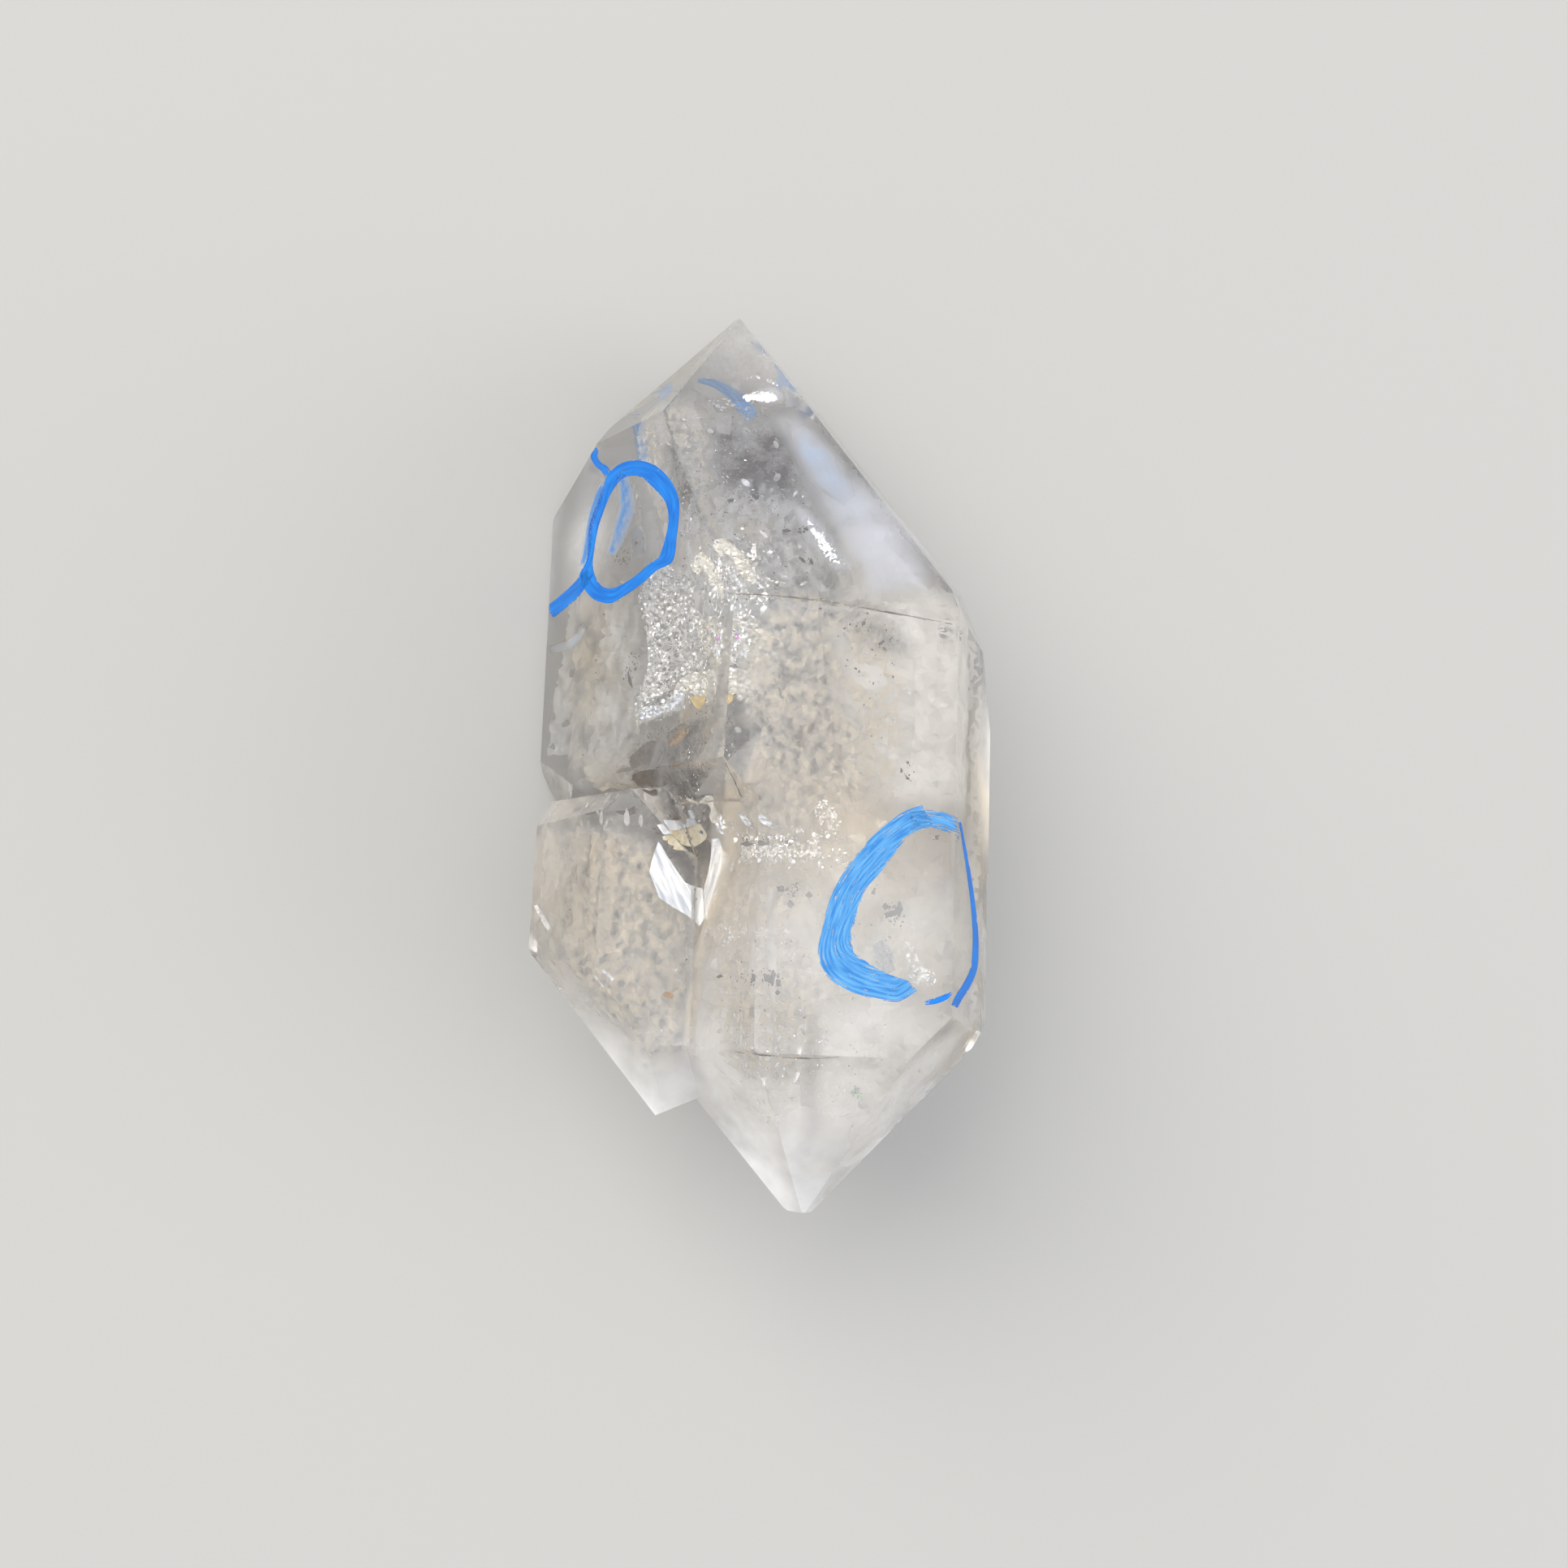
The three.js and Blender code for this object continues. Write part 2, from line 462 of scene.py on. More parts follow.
class Finish(Enum):
    """The finishes of what is in and on the stone."""

    # A cleaved flake with slanting flutes that shimmer white and pale blue.
    FLAKE_LEFT = MottledFinish("open_crack_white_flake", "#FFFFFF", "#BCC9DC", 0.3, 0.42, 0.8,
                               True, 8.0, lean=64.0)
    # Its steep side, with nearly upright flutes.
    FLAKE_RIGHT = MottledFinish("open_crack_white_flake_steep", "#FFFFFF", "#C6D1E2", 0.3, 0.42,
                                0.8, True, 8.0, lean=104.0)
    # An air-thin crack that mirrors the lights.
    LENS = MottledFinish("open_crack_bright_lens", "#FFFFFF", "#EDF3FC", 0.4, 0.4, 0.85)
    # Quartz chips with a dull pearly shine.
    FRAGMENT = MottledFinish("loose_cleavage_fragment", "#F6F6F8", "#BDB8B2", 0.5, 0.3, 0.35)
    # Crack film so thin that it shows colours, here straw gold.
    GOLD_SPARK = MottledFinish("crack_film_colours_gold", "#FFF2DA", "#FFD798", 0.12, 0.15, 0.85)
    # The soft grey shadow under a growth step.
    GROWTH_STEP = MottledFinish("growth_step_shadow", "#A29C96", "#7E766E", 0.3, 0.5, 0.0, True,
                                4.0, 0.5)
    # Near-black grains with a brown cast.
    BLACK_GRAIN = MottledFinish("black_mineral_grain", "#262320", "#4E463C", 0.2, 0.4, 0.1)
    # Crushed fresh quartz, white as snow.
    BRIGHT_CRACK = MottledFinish("fresh_crack_white_film", "#FFFFFF", "#F1F4FA", 0.5, 0.3, 0.3)
    # Tiny flat mirrors that flash white.
    SPARKLE = MottledFinish("open_crack_bright_flecks", "#FFFFFF", "#F8FAFF", 0.5, 0.14, 0.9)
    # Crack film like silver paper, white to steel blue.
    MIRROR_CRACK = MottledFinish("open_crack_mirror_film", "#FFFFFF", "#B9C6DA", 0.28, 0.3, 0.85)
    # A healed crack with sugary walls, silvery white to pale grey.
    LACE = MottledFinish("granular_crack_film", "#FFFFFF", "#DAD6CE", 0.25, 0.3, 0.7)
    # A closed crack that only pales what is behind it.
    SHARD = MottledFinish("clear_cleavage_film", "#F2F1F0", "#DAD8D6", 1.2, 0.35, 0.0,
                          clarity=0.7, bends_light=1.08)
    # A sugary crack with a breath of iron, cream white.
    CREAM = MottledFinish("iron_stained_granular_film", "#FFFFFB", "#F4ECD8", 0.3, 0.3, 0.6)
    # A flake stained by iron, honey yellow and nearly matt.
    YELLOW = MottledFinish("iron_stained_flake", "#F2D88C", "#D9B65E", 0.5, 0.4, 0.1)
    # A thinner iron stain, cream to pale gold.
    STAINED = MottledFinish("iron_stained_crack_film", "#FDF6E2", "#EAD69E", 0.5, 0.3, 0.1)
    # Iron oxide, brown gold with a dull metal shine.
    GOLD = MottledFinish("iron_oxide_fleck", "#B08A4E", "#6E5230", 0.35, 0.35, 0.3)
    # An earthy orange-brown spot.
    RUST = MottledFinish("limonite_spot", "#D09A54", "#B97E3C", 0.4, 0.6, 0.0)
    # Dark specks, warm charcoal to brown.
    GRAIN = MottledFinish("dark_mineral_grain", "#4A443C", "#77695A", 0.3, 0.45, 0.1)
    # Fine matt grey dust.
    DUST = MottledFinish("grey_mineral_dust", "#9A9288", "#7C746A", 0.3, 0.5, 0.0)
    # Crack colours from mint green to pink.
    GREEN_SPARK = MottledFinish("crack_film_colours_green", "#78FF9E", "#FFA0E6", 0.2, 0.3, 0.2)
    # Crack colours from pink to pale blue.
    PINK_SPARK = MottledFinish("crack_film_colours_pink", "#FF74DC", "#9CB8FF", 0.15, 0.3, 0.2)
    # Thick paint, full blue with lighter streaks along the pull.
    INK = MottledFinish("blue_paint_marker_dense", "#0068C6", "#2286E0", 0.22, 0.5, 0.0, True,
                        7.0, 0.08, shine=0.2)
    # The paint pulled dry, paler and more streaked.
    BRUSHED_INK = MottledFinish("blue_paint_marker_brushed", "#1C7CC8", "#62AADF", 0.16, 0.5, 0.0,
                                True, 9.0, 0.2)
    # The far side's paint, painted lighter than the near paint to stand in for the light it gets through
    # the stone.
    FAR_INK = MottledFinish("blue_paint_marker_seen_through_quartz", "#4CA4F8", "#8CC8FF", 0.2,
                            0.5, 0.0, True, 7.0, 0.15)
    # Paint wiped to a thin blue bloom.
    WASHED_INK = MilkyFilm("blue_paint_marker_wiped", "#74AEEE", 0.42, 1.4, 1.5, 0.25, 0.4)
    # The last trace of wiped paint.
    PALE_WASH = MilkyFilm("blue_paint_marker_wiped_pale", "#BCD8F8", 0.24, 1.2, 2.0, 0.32, 0.45)
    # Bubbles too small to see: warm white mist with clear gaps.
    HAZE = MilkyFilm("milky_veil_of_tiny_bubbles", "#FFF9EC", 0.6, 2.2)
    # The mist in small, pure white clouds.
    FINE_HAZE = MilkyFilm("fine_milky_veil", "#FFFFFF", 0.55, 0.8)
    # The mist tinted by iron, cream where thick.
    WARM_HAZE = MilkyFilm("iron_tinted_milky_veil", "#FFF0D6", 0.8, 2.0)
    # Thin mist that scatters a cool, bluish white.
    LAVENDER_HAZE = MilkyFilm("bluish_milky_veil", "#F6F8FE", 0.75, 2.0, 1.6, 0.3)
    # The cream line where two crystals grew together.
    SEAM_MILK = MilkyFilm("iron_tinted_seam", "#FDF2DE", 0.66, 0.8, 1.6, 0.32, 0.6)
    # Mist that hides most of what is below.
    DENSE_HAZE = MilkyFilm("dense_milky_veil", "#FFFBF4", 0.85, 2.5, 1.2, 0.26)
    # White wisps drawn out along the crystal.
    FEATHER = MilkyFilm("feathery_milky_veil", "#FFFFFF", 0.85, 0.7, 2.6, 0.44)
    # Small cream wisps with clear gaps.
    WARM_FEATHER = MilkyFilm("iron_tinted_feathery_veil", "#FFF5E2", 0.78, 0.5, 1.5, 0.4)
    # A brown-grey shade like thin smoke, which in the pit is a painted shadow.
    SMOKY_HAZE = MilkyFilm("smoky_veil", "#5E4E42", 0.6, 1.6, 1.3, 0.3)
    # Small grey-brown wisps that mottle the stone.
    GREY_FEATHER = MilkyFilm("smoky_mottled_veil", "#978B7E", 0.42, 0.5, 1.4, 0.42)
    # Old brine, faintly blue, with a dark rim in the quartz.
    FLUID = PocketFilling("brine_in_cavity", "#9AA6BC", 0.75, 1.16)
    # Gas in brine, a bright dot with a dark rim.
    GAS = PocketFilling("gas_bubble_in_brine", "#F4F8FF", 0.95, 1.33)
    # A smoky cleavage face, clear brown.
    SMOKE = MottledFinish("smoky_cleavage_film", "#85705E", "#5A4A3E", 0.45, 0.4, 0.0, clarity=0.4,
                          bends_light=1.05)

    def get(self) -> Material:
        """Return the finish's material, made the first time it is asked for."""
        return bpy.data.materials.get(self.value.name) or self.value.material()


@dataclass(frozen=True)
class Viewpoint:
    """Where the stone is looked at from.

    A frame point is a place in the square picture, counted from its top left corner.
    """

    heart: tuple[float, float, float] = (0.21, -2.783, 13.0)
    yaw: float = 6.5
    tilt: float = 10.0
    roll: float = 3.0
    distance: float = 106.95
    points_per_mm: float = 20.0
    axis_point: FramePoint = (940.0, 945.0)
    frame_side: float = 1932.0
    sensor: float = 36.0
    nearest: float = 0.005
    furthest: float = 20.0

    def axes(self) -> np.ndarray:
        """Work out the eye's own directions.

        Returns:
            Three rows: to its right, upwards, and back towards the eye.
        """
        (cy, sy), (ct, st), (cr, sr) = [
            (math.cos(math.radians(a)), math.sin(math.radians(a)))
            for a in (self.yaw, self.tilt, self.roll)]
        turn = np.array([[cy, 0, sy], [0, 1, 0], [-sy, 0, cy]])
        nod = np.array([[1, 0, 0], [0, ct, st], [0, -st, ct]])
        lean = np.array([[cr, sr, 0], [-sr, cr, 0], [0, 0, 1]])
        return lean @ nod @ turn

    def eye(self) -> Vector:
        """Return the eye's place in millimetres."""
        return Vector(self.heart) + Vector(self.axes()[2]) * self.distance

    def sight(self, point: Sequence[float]) -> Vector:
        """Work out the direction of a line of sight.

        Args:
            point: the frame point it passes.
        Returns:
            The unit direction away from the eye.
        """
        across = (point[0] - self.axis_point[0]) / self.points_per_mm
        down = (point[1] - self.axis_point[1]) / self.points_per_mm
        right, up, _ = self.axes()
        aim = Vector(self.heart) + Vector(right) * across - Vector(up) * down
        return (aim - self.eye()).normalized()

    def build_camera(self) -> None:
        """Make the scene's camera."""
        data = bpy.data.cameras.new("camera")
        data.sensor_width = self.sensor
        data.lens = self.sensor * self.distance * self.points_per_mm / self.frame_side
        middle = self.frame_side / 2
        data.shift_x = (middle - self.axis_point[0]) / self.frame_side
        data.shift_y = (self.axis_point[1] - middle) / self.frame_side
        data.clip_start = self.nearest
        data.clip_end = self.furthest
        camera = link_new("camera", data)
        turned = Matrix(self.axes().T.tolist()).to_4x4()
        camera.matrix_world = Matrix.Translation(self.eye() * MM) @ turned
        bpy.context.scene.camera = camera


def bend_inwards(ray: Vector, outward: Vector) -> Vector:
    """Bend a ray from air into quartz.

    Args:
        ray: the unit direction before the face.
        outward: the face's unit normal.
    Returns:
        The unit direction behind the face.
    """
    ratio = 1 / QUARTZ_IOR
    facing = -ray.dot(outward)
    straight = math.sqrt(1 - ratio * ratio * (1 - facing * facing))
    return (ray * ratio + outward * (ratio * facing - straight)).normalized()


class Sightlines:
    """Lines of sight that meet the stone, in millimetres.

    step_in is how deep a line is inside before it looks for the far side, and flattest is the
    downward part that it has at least.
    """

    step_in = 0.2
    flattest = -0.2

    def __init__(self, stone: Object, view: Viewpoint) -> None:
        """Remember the stone's flat faces and its finished surface.

        Args:
            stone: the clear stone, with its modifiers.
            view: where it is looked at from.
        """
        self.view = view
        self.faces = self.tree_of(stone.data)
        seen = stone.evaluated_get(bpy.context.evaluated_depsgraph_get())
        self.surface = self.tree_of(seen.to_mesh())
        seen.to_mesh_clear()

    @staticmethod
    def tree_of(mesh: Mesh) -> BVHTree:
        """Return a mesh's search tree, in millimetres."""
        corners = [vertex.co / MM for vertex in mesh.vertices]
        return BVHTree.FromPolygons(corners, [tuple(face.vertices) for face in mesh.polygons])

    def near_side(self, point: Sequence[float]) -> tuple[Vector, Vector] | None:
        """Find where a line of sight meets the stone.

        Args:
            point: the frame point.
        Returns:
            The place and the outward normal, or nothing if the line misses.
        """
        place, outward, _, _ = self.surface.ray_cast(self.view.eye(), self.view.sight(point))
        return None if place is None else (place, outward)

    def ray_inside(self, point: Sequence[float]) -> tuple[Vector, Vector] | None:
        """Bend a line of sight at the flat face where it enters the stone.

        Args:
            point: the frame point.
        Returns:
            The place where it enters and its direction inside, or nothing if it misses.
        """
        sight = self.view.sight(point)
        place, outward, _, _ = self.faces.ray_cast(self.view.eye(), sight)
        return None if place is None else (place, bend_inwards(sight, outward))

    def far_side(self, point: Sequence[float]) -> tuple[Vector, Vector] | None:
        """Find where a bent line of sight leaves the stone.

        Args:
            point: the frame point.
        Returns:
            The place and the outward normal, or nothing if the line misses.
        """
        inside = self.ray_inside(point)
        if inside is None:
            return None
        start, ray = inside
        place, outward, _, _ = self.surface.ray_cast(start + ray * self.step_in, ray)
        return None if place is None else (place, outward)

    def at_height(self, point: Sequence[float], height: float, bent: bool = True) -> Vector | None:
        """Find the place inside the stone that shows at a frame point.

        Args:
            point: the frame point.
            height: how high over the floor the place is, in millimetres.
            bent: whether the line of sight bends where it enters the stone.
        Returns:
            The place, or nothing if the line of sight misses the stone or enters it lower down.
        """
        inside = self.ray_inside(point)
        if inside is not None and not bent:
            inside = (inside[0], self.view.sight(point))
        if inside is None or inside[0].z <= height or inside[1].z > self.flattest:
            return None
        start, ray = inside
        return start + ray * ((height - start.z) / ray.z)

    def holds(self, place: Vector, margin: float) -> bool:
        """Tell whether a place is inside the stone, and further than margin from its surface."""
        nearest, outward, _, away = self.surface.find_nearest(place)
        return away >= margin and (place - nearest).dot(outward) < 0


# How many points a smooth curve first gets between two given ones.
CURVE_STEPS = 12

# A length of no account that keeps a division from failing.
TINY = 1e-9


def smooth_line(points: Sequence[Sequence[float]], count: int, closed: bool = False) -> np.ndarray:
    """Run a smooth curve through points and space it evenly.

    Args:
        points: the points that it passes, of any number of parts each.
        count: how many points come back.
        closed: whether it returns to its start.
    Returns:
        The curve's points, one row each; a closed curve's last is its first.
    """
    given = np.array(points, dtype=float)
    if closed:
        knots = np.vstack([given[-1:], given, given[:2]])
    else:
        knots = np.vstack([2 * given[0] - given[1], given, 2 * given[-1] - given[-2]])
    share = np.linspace(0, 1, CURVE_STEPS, endpoint=False)[:, None]
    runs = [
        0.5 * (2 * b + (c - a) * share + (2 * a - 5 * b + 4 * c - d) * share ** 2
               + (3 * b - a - 3 * c + d) * share ** 3)
        for a, b, c, d in zip(knots, knots[1:], knots[2:], knots[3:])]
    dense = np.vstack([*runs, knots[-2:-1]])
    walked = np.concatenate([[0], np.cumsum(np.linalg.norm(np.diff(dense[:, :2], axis=0), axis=1))])
    stops = np.linspace(0, walked[-1], count)
    return np.column_stack([np.interp(stops, walked, column) for column in dense.T])


def straight_line(points: Sequence[Sequence[float]], count: int) -> np.ndarray:
    """Walk round a closed outline with sharp corners at even steps.

    Args:
        points: its corners.
        count: how many points come back.
    Returns:
        The points, one row each; the last is the first again.
    """
    loop = np.array([*points, points[0]], dtype=float)
    walked = np.concatenate([[0], np.cumsum(np.linalg.norm(np.diff(loop, axis=0), axis=1))])
    stops = np.linspace(0, walked[-1], count)
    return np.column_stack([np.interp(stops, walked, column) for column in loop.T])


def is_inside(rim: np.ndarray, spots: np.ndarray) -> np.ndarray:
    """Tell which spots a closed outline surrounds.

    Args:
        rim: the outline's corners, one row each.
        spots: the places, one row each.
    Returns:
        True or false for each spot.
    """
    start, end = rim, np.roll(rim, -1, axis=0)
    x, y = spots[:, :1], spots[:, 1:]
    spans = (start[:, 1] > y) != (end[:, 1] > y)
    rise = np.where(end[:, 1] == start[:, 1], TINY, end[:, 1] - start[:, 1])
    crossing = start[:, 0] + (y - start[:, 1]) * (end[:, 0] - start[:, 0]) / rise
    return (spans & (x < crossing)).sum(axis=1) % 2 == 1


def rim_distance(rim: np.ndarray, spots: np.ndarray) -> np.ndarray:
    """Measure how far each spot is from a closed outline.

    Args:
        rim: the outline's corners, one row each.
        spots: the places, one row each.
    Returns:
        The distance of each spot.
    """
    along = np.roll(rim, -1, axis=0) - rim
    offset = spots[:, None, :] - rim
    share = np.clip((offset * along).sum(2) / np.maximum((along ** 2).sum(1), TINY), 0, 1)
    return np.linalg.norm(offset - along * share[..., None], axis=2).min(axis=1)


def new_piece(name: str, corners: Sequence[Vector], faces: Sequence[Sequence[int]]) -> Object:
    """Make a mesh object.

    Args:
        name: the piece's name.
        corners: its corners in millimetres.
        faces: the corner numbers of each face.
    Returns:
        The object, at the origin.
    """
    mesh = bpy.data.meshes.new(name)
    mesh.from_pydata([corner * MM for corner in corners], [], faces)
    return link_new(name, mesh)


def map_stroke(piece: Object, flat: Sequence[Sequence[float]], rim: Sequence[float]) -> None:
    """Store the flat map of a sheet or stroke and its nearness to the rim.

    Args:
        piece: the mesh.
        flat: along and across for each corner, in millimetres.
        rim: for each corner, 0 well inside and 1 at the rim.
    """
    mesh = piece.data
    layer = mesh.uv_layers.new(name=STROKE_MAP)
    for loop in mesh.loops:
        u, v = flat[loop.vertex_index][:2]
        layer.data[loop.index].uv = (u * MM, v * MM)
    edge = mesh.attributes.new(RIM, "FLOAT", "POINT")
    edge.data.foreach_set("value", list(rim))


def settle(piece: Object) -> None:
    """Tie a dressed piece to the stone's body and report it.

    Args:
        piece: the piece.
    """
    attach(piece, BODY)
    LOG.info("%s: %d faces", piece.name, len(piece.data.polygons))


class GeometryTree:
    """A geometry node tree with named inputs that turns one mesh into another."""

    name = "tree"
    inputs: dict[str, str] = {}

    def __init__(self) -> None:
        """Make the tree's sockets and let the kind of tree fill it."""
        self.tree = bpy.data.node_groups.new(self.name, "GeometryNodeTree")
        faces = self.tree.interface
        faces.new_socket("Geometry", in_out="INPUT", socket_type="NodeSocketGeometry")
        faces.new_socket("Geometry", in_out="OUTPUT", socket_type="NodeSocketGeometry")
        for name, kind in self.inputs.items():
            faces.new_socket(name, in_out="INPUT", socket_type=f"NodeSocket{kind}")
        given = add_node(self.tree, "NodeGroupInput").outputs
        made = self.fill(given)
        real = add_node(self.tree, "GeometryNodeRealizeInstances", {"Geometry": made})
        dressed = add_node(self.tree, "GeometryNodeSetMaterial", {
            "Geometry": real.outputs["Geometry"], "Material": given["Material"]})
        add_node(self.tree, "NodeGroupOutput", {"Geometry": dressed.outputs["Geometry"]})

    def fill(self, given: bpy_prop_collection) -> NodeSocket:
        """Build the tree's own nodes.

        Args:
            given: the sockets of the named inputs.
        Returns:
            The socket with the shape.
        """
        raise NotImplementedError

    def run(self, piece: Object, values: dict[str, object]) -> None:
        """Turn a piece into what the tree makes of it, as a plain mesh.

        Args:
            piece: the piece.
            values: a value for each named input.
        """
        modifier = piece.modifiers.new(self.name, "NODES")
        modifier.node_group = self.tree
        for socket in self.tree.interface.items_tree:
            if socket.in_out == "INPUT" and socket.name in values:
                modifier[socket.identifier] = values[socket.name]
        graph = bpy.context.evaluated_depsgraph_get()
        made = bpy.data.meshes.new_from_object(piece.evaluated_get(graph), depsgraph=graph)
        piece.modifiers.remove(modifier)
        before = piece.data
        made.name = piece.name
        piece.data = made
        bpy.data.meshes.remove(before)


class ScatterTree(GeometryTree):
    """Strews small flat flecks over a sheet and a little above and below it."""

    name = "scattered_flecks"
    inputs = {
        "Per square metre": "Float", "Smallest": "Float", "Largest": "Float", "Flatness": "Float",
        "Tumble": "Float", "Turn": "Float", "Slimness": "Float", "Spread": "Float",
        "Gap size": "Float", "Gap level": "Float", "Seed": "Int", "Material": "Material"}

    def fill(self, given: bpy_prop_collection) -> NodeSocket:
        """Build the tree's own nodes.

        Args:
            given: the sockets of the named inputs.
        Returns:
            The socket with the flecks.
        """
        tree = self.tree
        spots = add_node(tree, "GeometryNodeDistributePointsOnFaces", {
            "Mesh": given["Geometry"], "Density": given["Per square metre"], "Seed": given["Seed"]})
        place = add_node(tree, "GeometryNodeInputPosition").outputs["Position"]
        gap_scale = add_node(tree, "ShaderNodeMath", {0: 1.0, 1: given["Gap size"]}, operation="DIVIDE")
        gaps = add_node(tree, "ShaderNodeTexNoise", {
            "Vector": place, "W": given["Seed"], "Scale": gap_scale.outputs["Value"], "Detail": 2.0},
            noise_dimensions="4D")
        kept = add_node(tree, "FunctionNodeCompare", {
            "A": gaps.outputs["Fac"], "B": given["Gap level"]}, operation="GREATER_THAN")
        lift = add_node(tree, "FunctionNodeRandomValue", {LEAST: -0.5, MOST: 0.5, "Seed": 3})
        height = add_node(tree, "ShaderNodeMath", {0: lift.outputs[DRAWN], 1: given["Spread"]},
                          operation="MULTIPLY")
        shift = add_node(tree, "ShaderNodeVectorMath", {
            0: spots.outputs["Normal"], "Scale": height.outputs["Value"]}, operation="SCALE")
        moved = add_node(tree, "GeometryNodeSetPosition", {
            "Geometry": spots.outputs["Points"], "Offset": shift.outputs["Vector"]})
        luck = add_node(tree, "FunctionNodeRandomValue", {LEAST: 0.0, MOST: 1.0, "Seed": 5})
        rare = add_node(tree, "ShaderNodeMath", {0: luck.outputs[DRAWN], 1: 3.0}, operation="POWER")
        size = add_node(tree, "ShaderNodeMapRange", {
            "Value": rare.outputs["Value"], "To Min": given["Smallest"], "To Max": given["Largest"]})
        luckier = add_node(tree, "FunctionNodeRandomValue", {LEAST: 0.4, MOST: 1.0, "Seed": 7})
        squash = add_node(tree, "ShaderNodeMath", {0: luckier.outputs[DRAWN], 1: given["Slimness"]},
                          operation="MULTIPLY")
        outline = add_node(tree, "ShaderNodeCombineXYZ", {
            "X": squash.outputs["Value"], "Y": 1.0, "Z": given["Flatness"]})
        scale = add_node(tree, "ShaderNodeVectorMath", {
            0: outline.outputs["Vector"], "Scale": size.outputs["Result"]}, operation="SCALE")
        turn = add_node(tree, "FunctionNodeRandomValue", {
            0: (-math.pi,) * 3, 1: (math.pi,) * 3, "Seed": 9}, data_type="FLOAT_VECTOR")
        share = add_node(tree, "ShaderNodeCombineXYZ", {
            "X": given["Tumble"], "Y": given["Tumble"], "Z": given["Turn"]})
        tumble = add_node(tree, "ShaderNodeVectorMath", {
            0: turn.outputs[0], 1: share.outputs["Vector"]}, operation="MULTIPLY")
        spin = add_node(tree, "FunctionNodeEulerToRotation", {"Euler": tumble.outputs["Vector"]})
        lengthwise = add_node(tree, "FunctionNodeAlignRotationToVector", {
            "Rotation": spots.outputs["Rotation"], "Vector": (0.0, 1.0, 0.0)}, axis="Y",
            pivot_axis="Z")
        facing = add_node(tree, "FunctionNodeRotateRotation", {
            "Rotation": lengthwise.outputs["Rotation"], "Rotate By": spin.outputs["Rotation"]},
            rotation_space="LOCAL")
        fleck = add_node(tree, "GeometryNodeMeshIcoSphere", {"Radius": 1.0, "Subdivisions": 1})
        strewn = add_node(tree, "GeometryNodeInstanceOnPoints", {
            "Points": moved.outputs["Geometry"], "Selection": kept.outputs["Result"],
            "Instance": fleck.outputs["Mesh"], "Rotation": facing.outputs["Rotation"],
            "Scale": scale.outputs["Vector"]})
        return strewn.outputs["Instances"]


class WornTree(GeometryTree):
    """Wears holes into a sheet: lace in a crack film, dry streaks in a pen stroke."""

    name = "worn_sheet"
    inputs = {"Length": "Float", "Width": "Float", "Loss": "Float", "Rim loss": "Float",
              "Seed": "Int", "Material": "Material"}

    def fill(self, given: bpy_prop_collection) -> NodeSocket:
        """Build the tree's own nodes.

        Args:
            given: the sockets of the named inputs.
        Returns:
            The socket with what is left of the sheet.
        """
        tree = self.tree
        flat = add_node(tree, "GeometryNodeInputNamedAttribute", {"Name": STROKE_MAP},
                        data_type="FLOAT_VECTOR")
        holes = add_node(tree, "ShaderNodeCombineXYZ", {
            "X": given["Length"], "Y": given["Width"], "Z": 1.0})
        drawn = add_node(tree, "ShaderNodeVectorMath", {
            0: flat.outputs["Attribute"], 1: holes.outputs["Vector"]}, operation="DIVIDE")
        pattern = add_node(tree, "ShaderNodeTexNoise", {
            "Vector": drawn.outputs["Vector"], "W": given["Seed"], "Scale": 1.0, "Detail": 3.0},
            noise_dimensions="4D")
        rim = add_node(tree, "GeometryNodeInputNamedAttribute", {"Name": RIM}, data_type="FLOAT")
        extra = add_node(tree, "ShaderNodeMath", {
            0: rim.outputs["Attribute"], 1: given["Rim loss"], 2: given["Loss"]},
            operation="MULTIPLY_ADD")
        lost = add_node(tree, "FunctionNodeCompare", {
            "A": pattern.outputs["Fac"], "B": extra.outputs["Value"]}, operation="LESS_THAN")
        left = add_node(tree, "GeometryNodeDeleteGeometry", {
            "Geometry": given["Geometry"], "Selection": lost.outputs["Result"]}, domain="FACE")
        return left.outputs["Geometry"]


# How a sheet's grid is laid, in cells: how far its points stray, how clear of the rim they stay and
# how long an edge may get. A rim has at least so many steps. Only triangles inside it are kept,
# and corners this close in frame points are one.
GRID_STRAY = 0.35
RIM_CLEARANCE = 0.4
LONGEST_EDGE = 3.5
RIM_STEPS = 12
INSIDE_RIM = 1
SAME_CORNER = 0.01

# The crumples' noise: how fast it weakens, how much finer each layer is and how many there are. The
# height times the last number sets sheets apart.
CRUMPLE_NOISE = (0.6, 2.0, 3)
CRUMPLE_SHIFT = 7


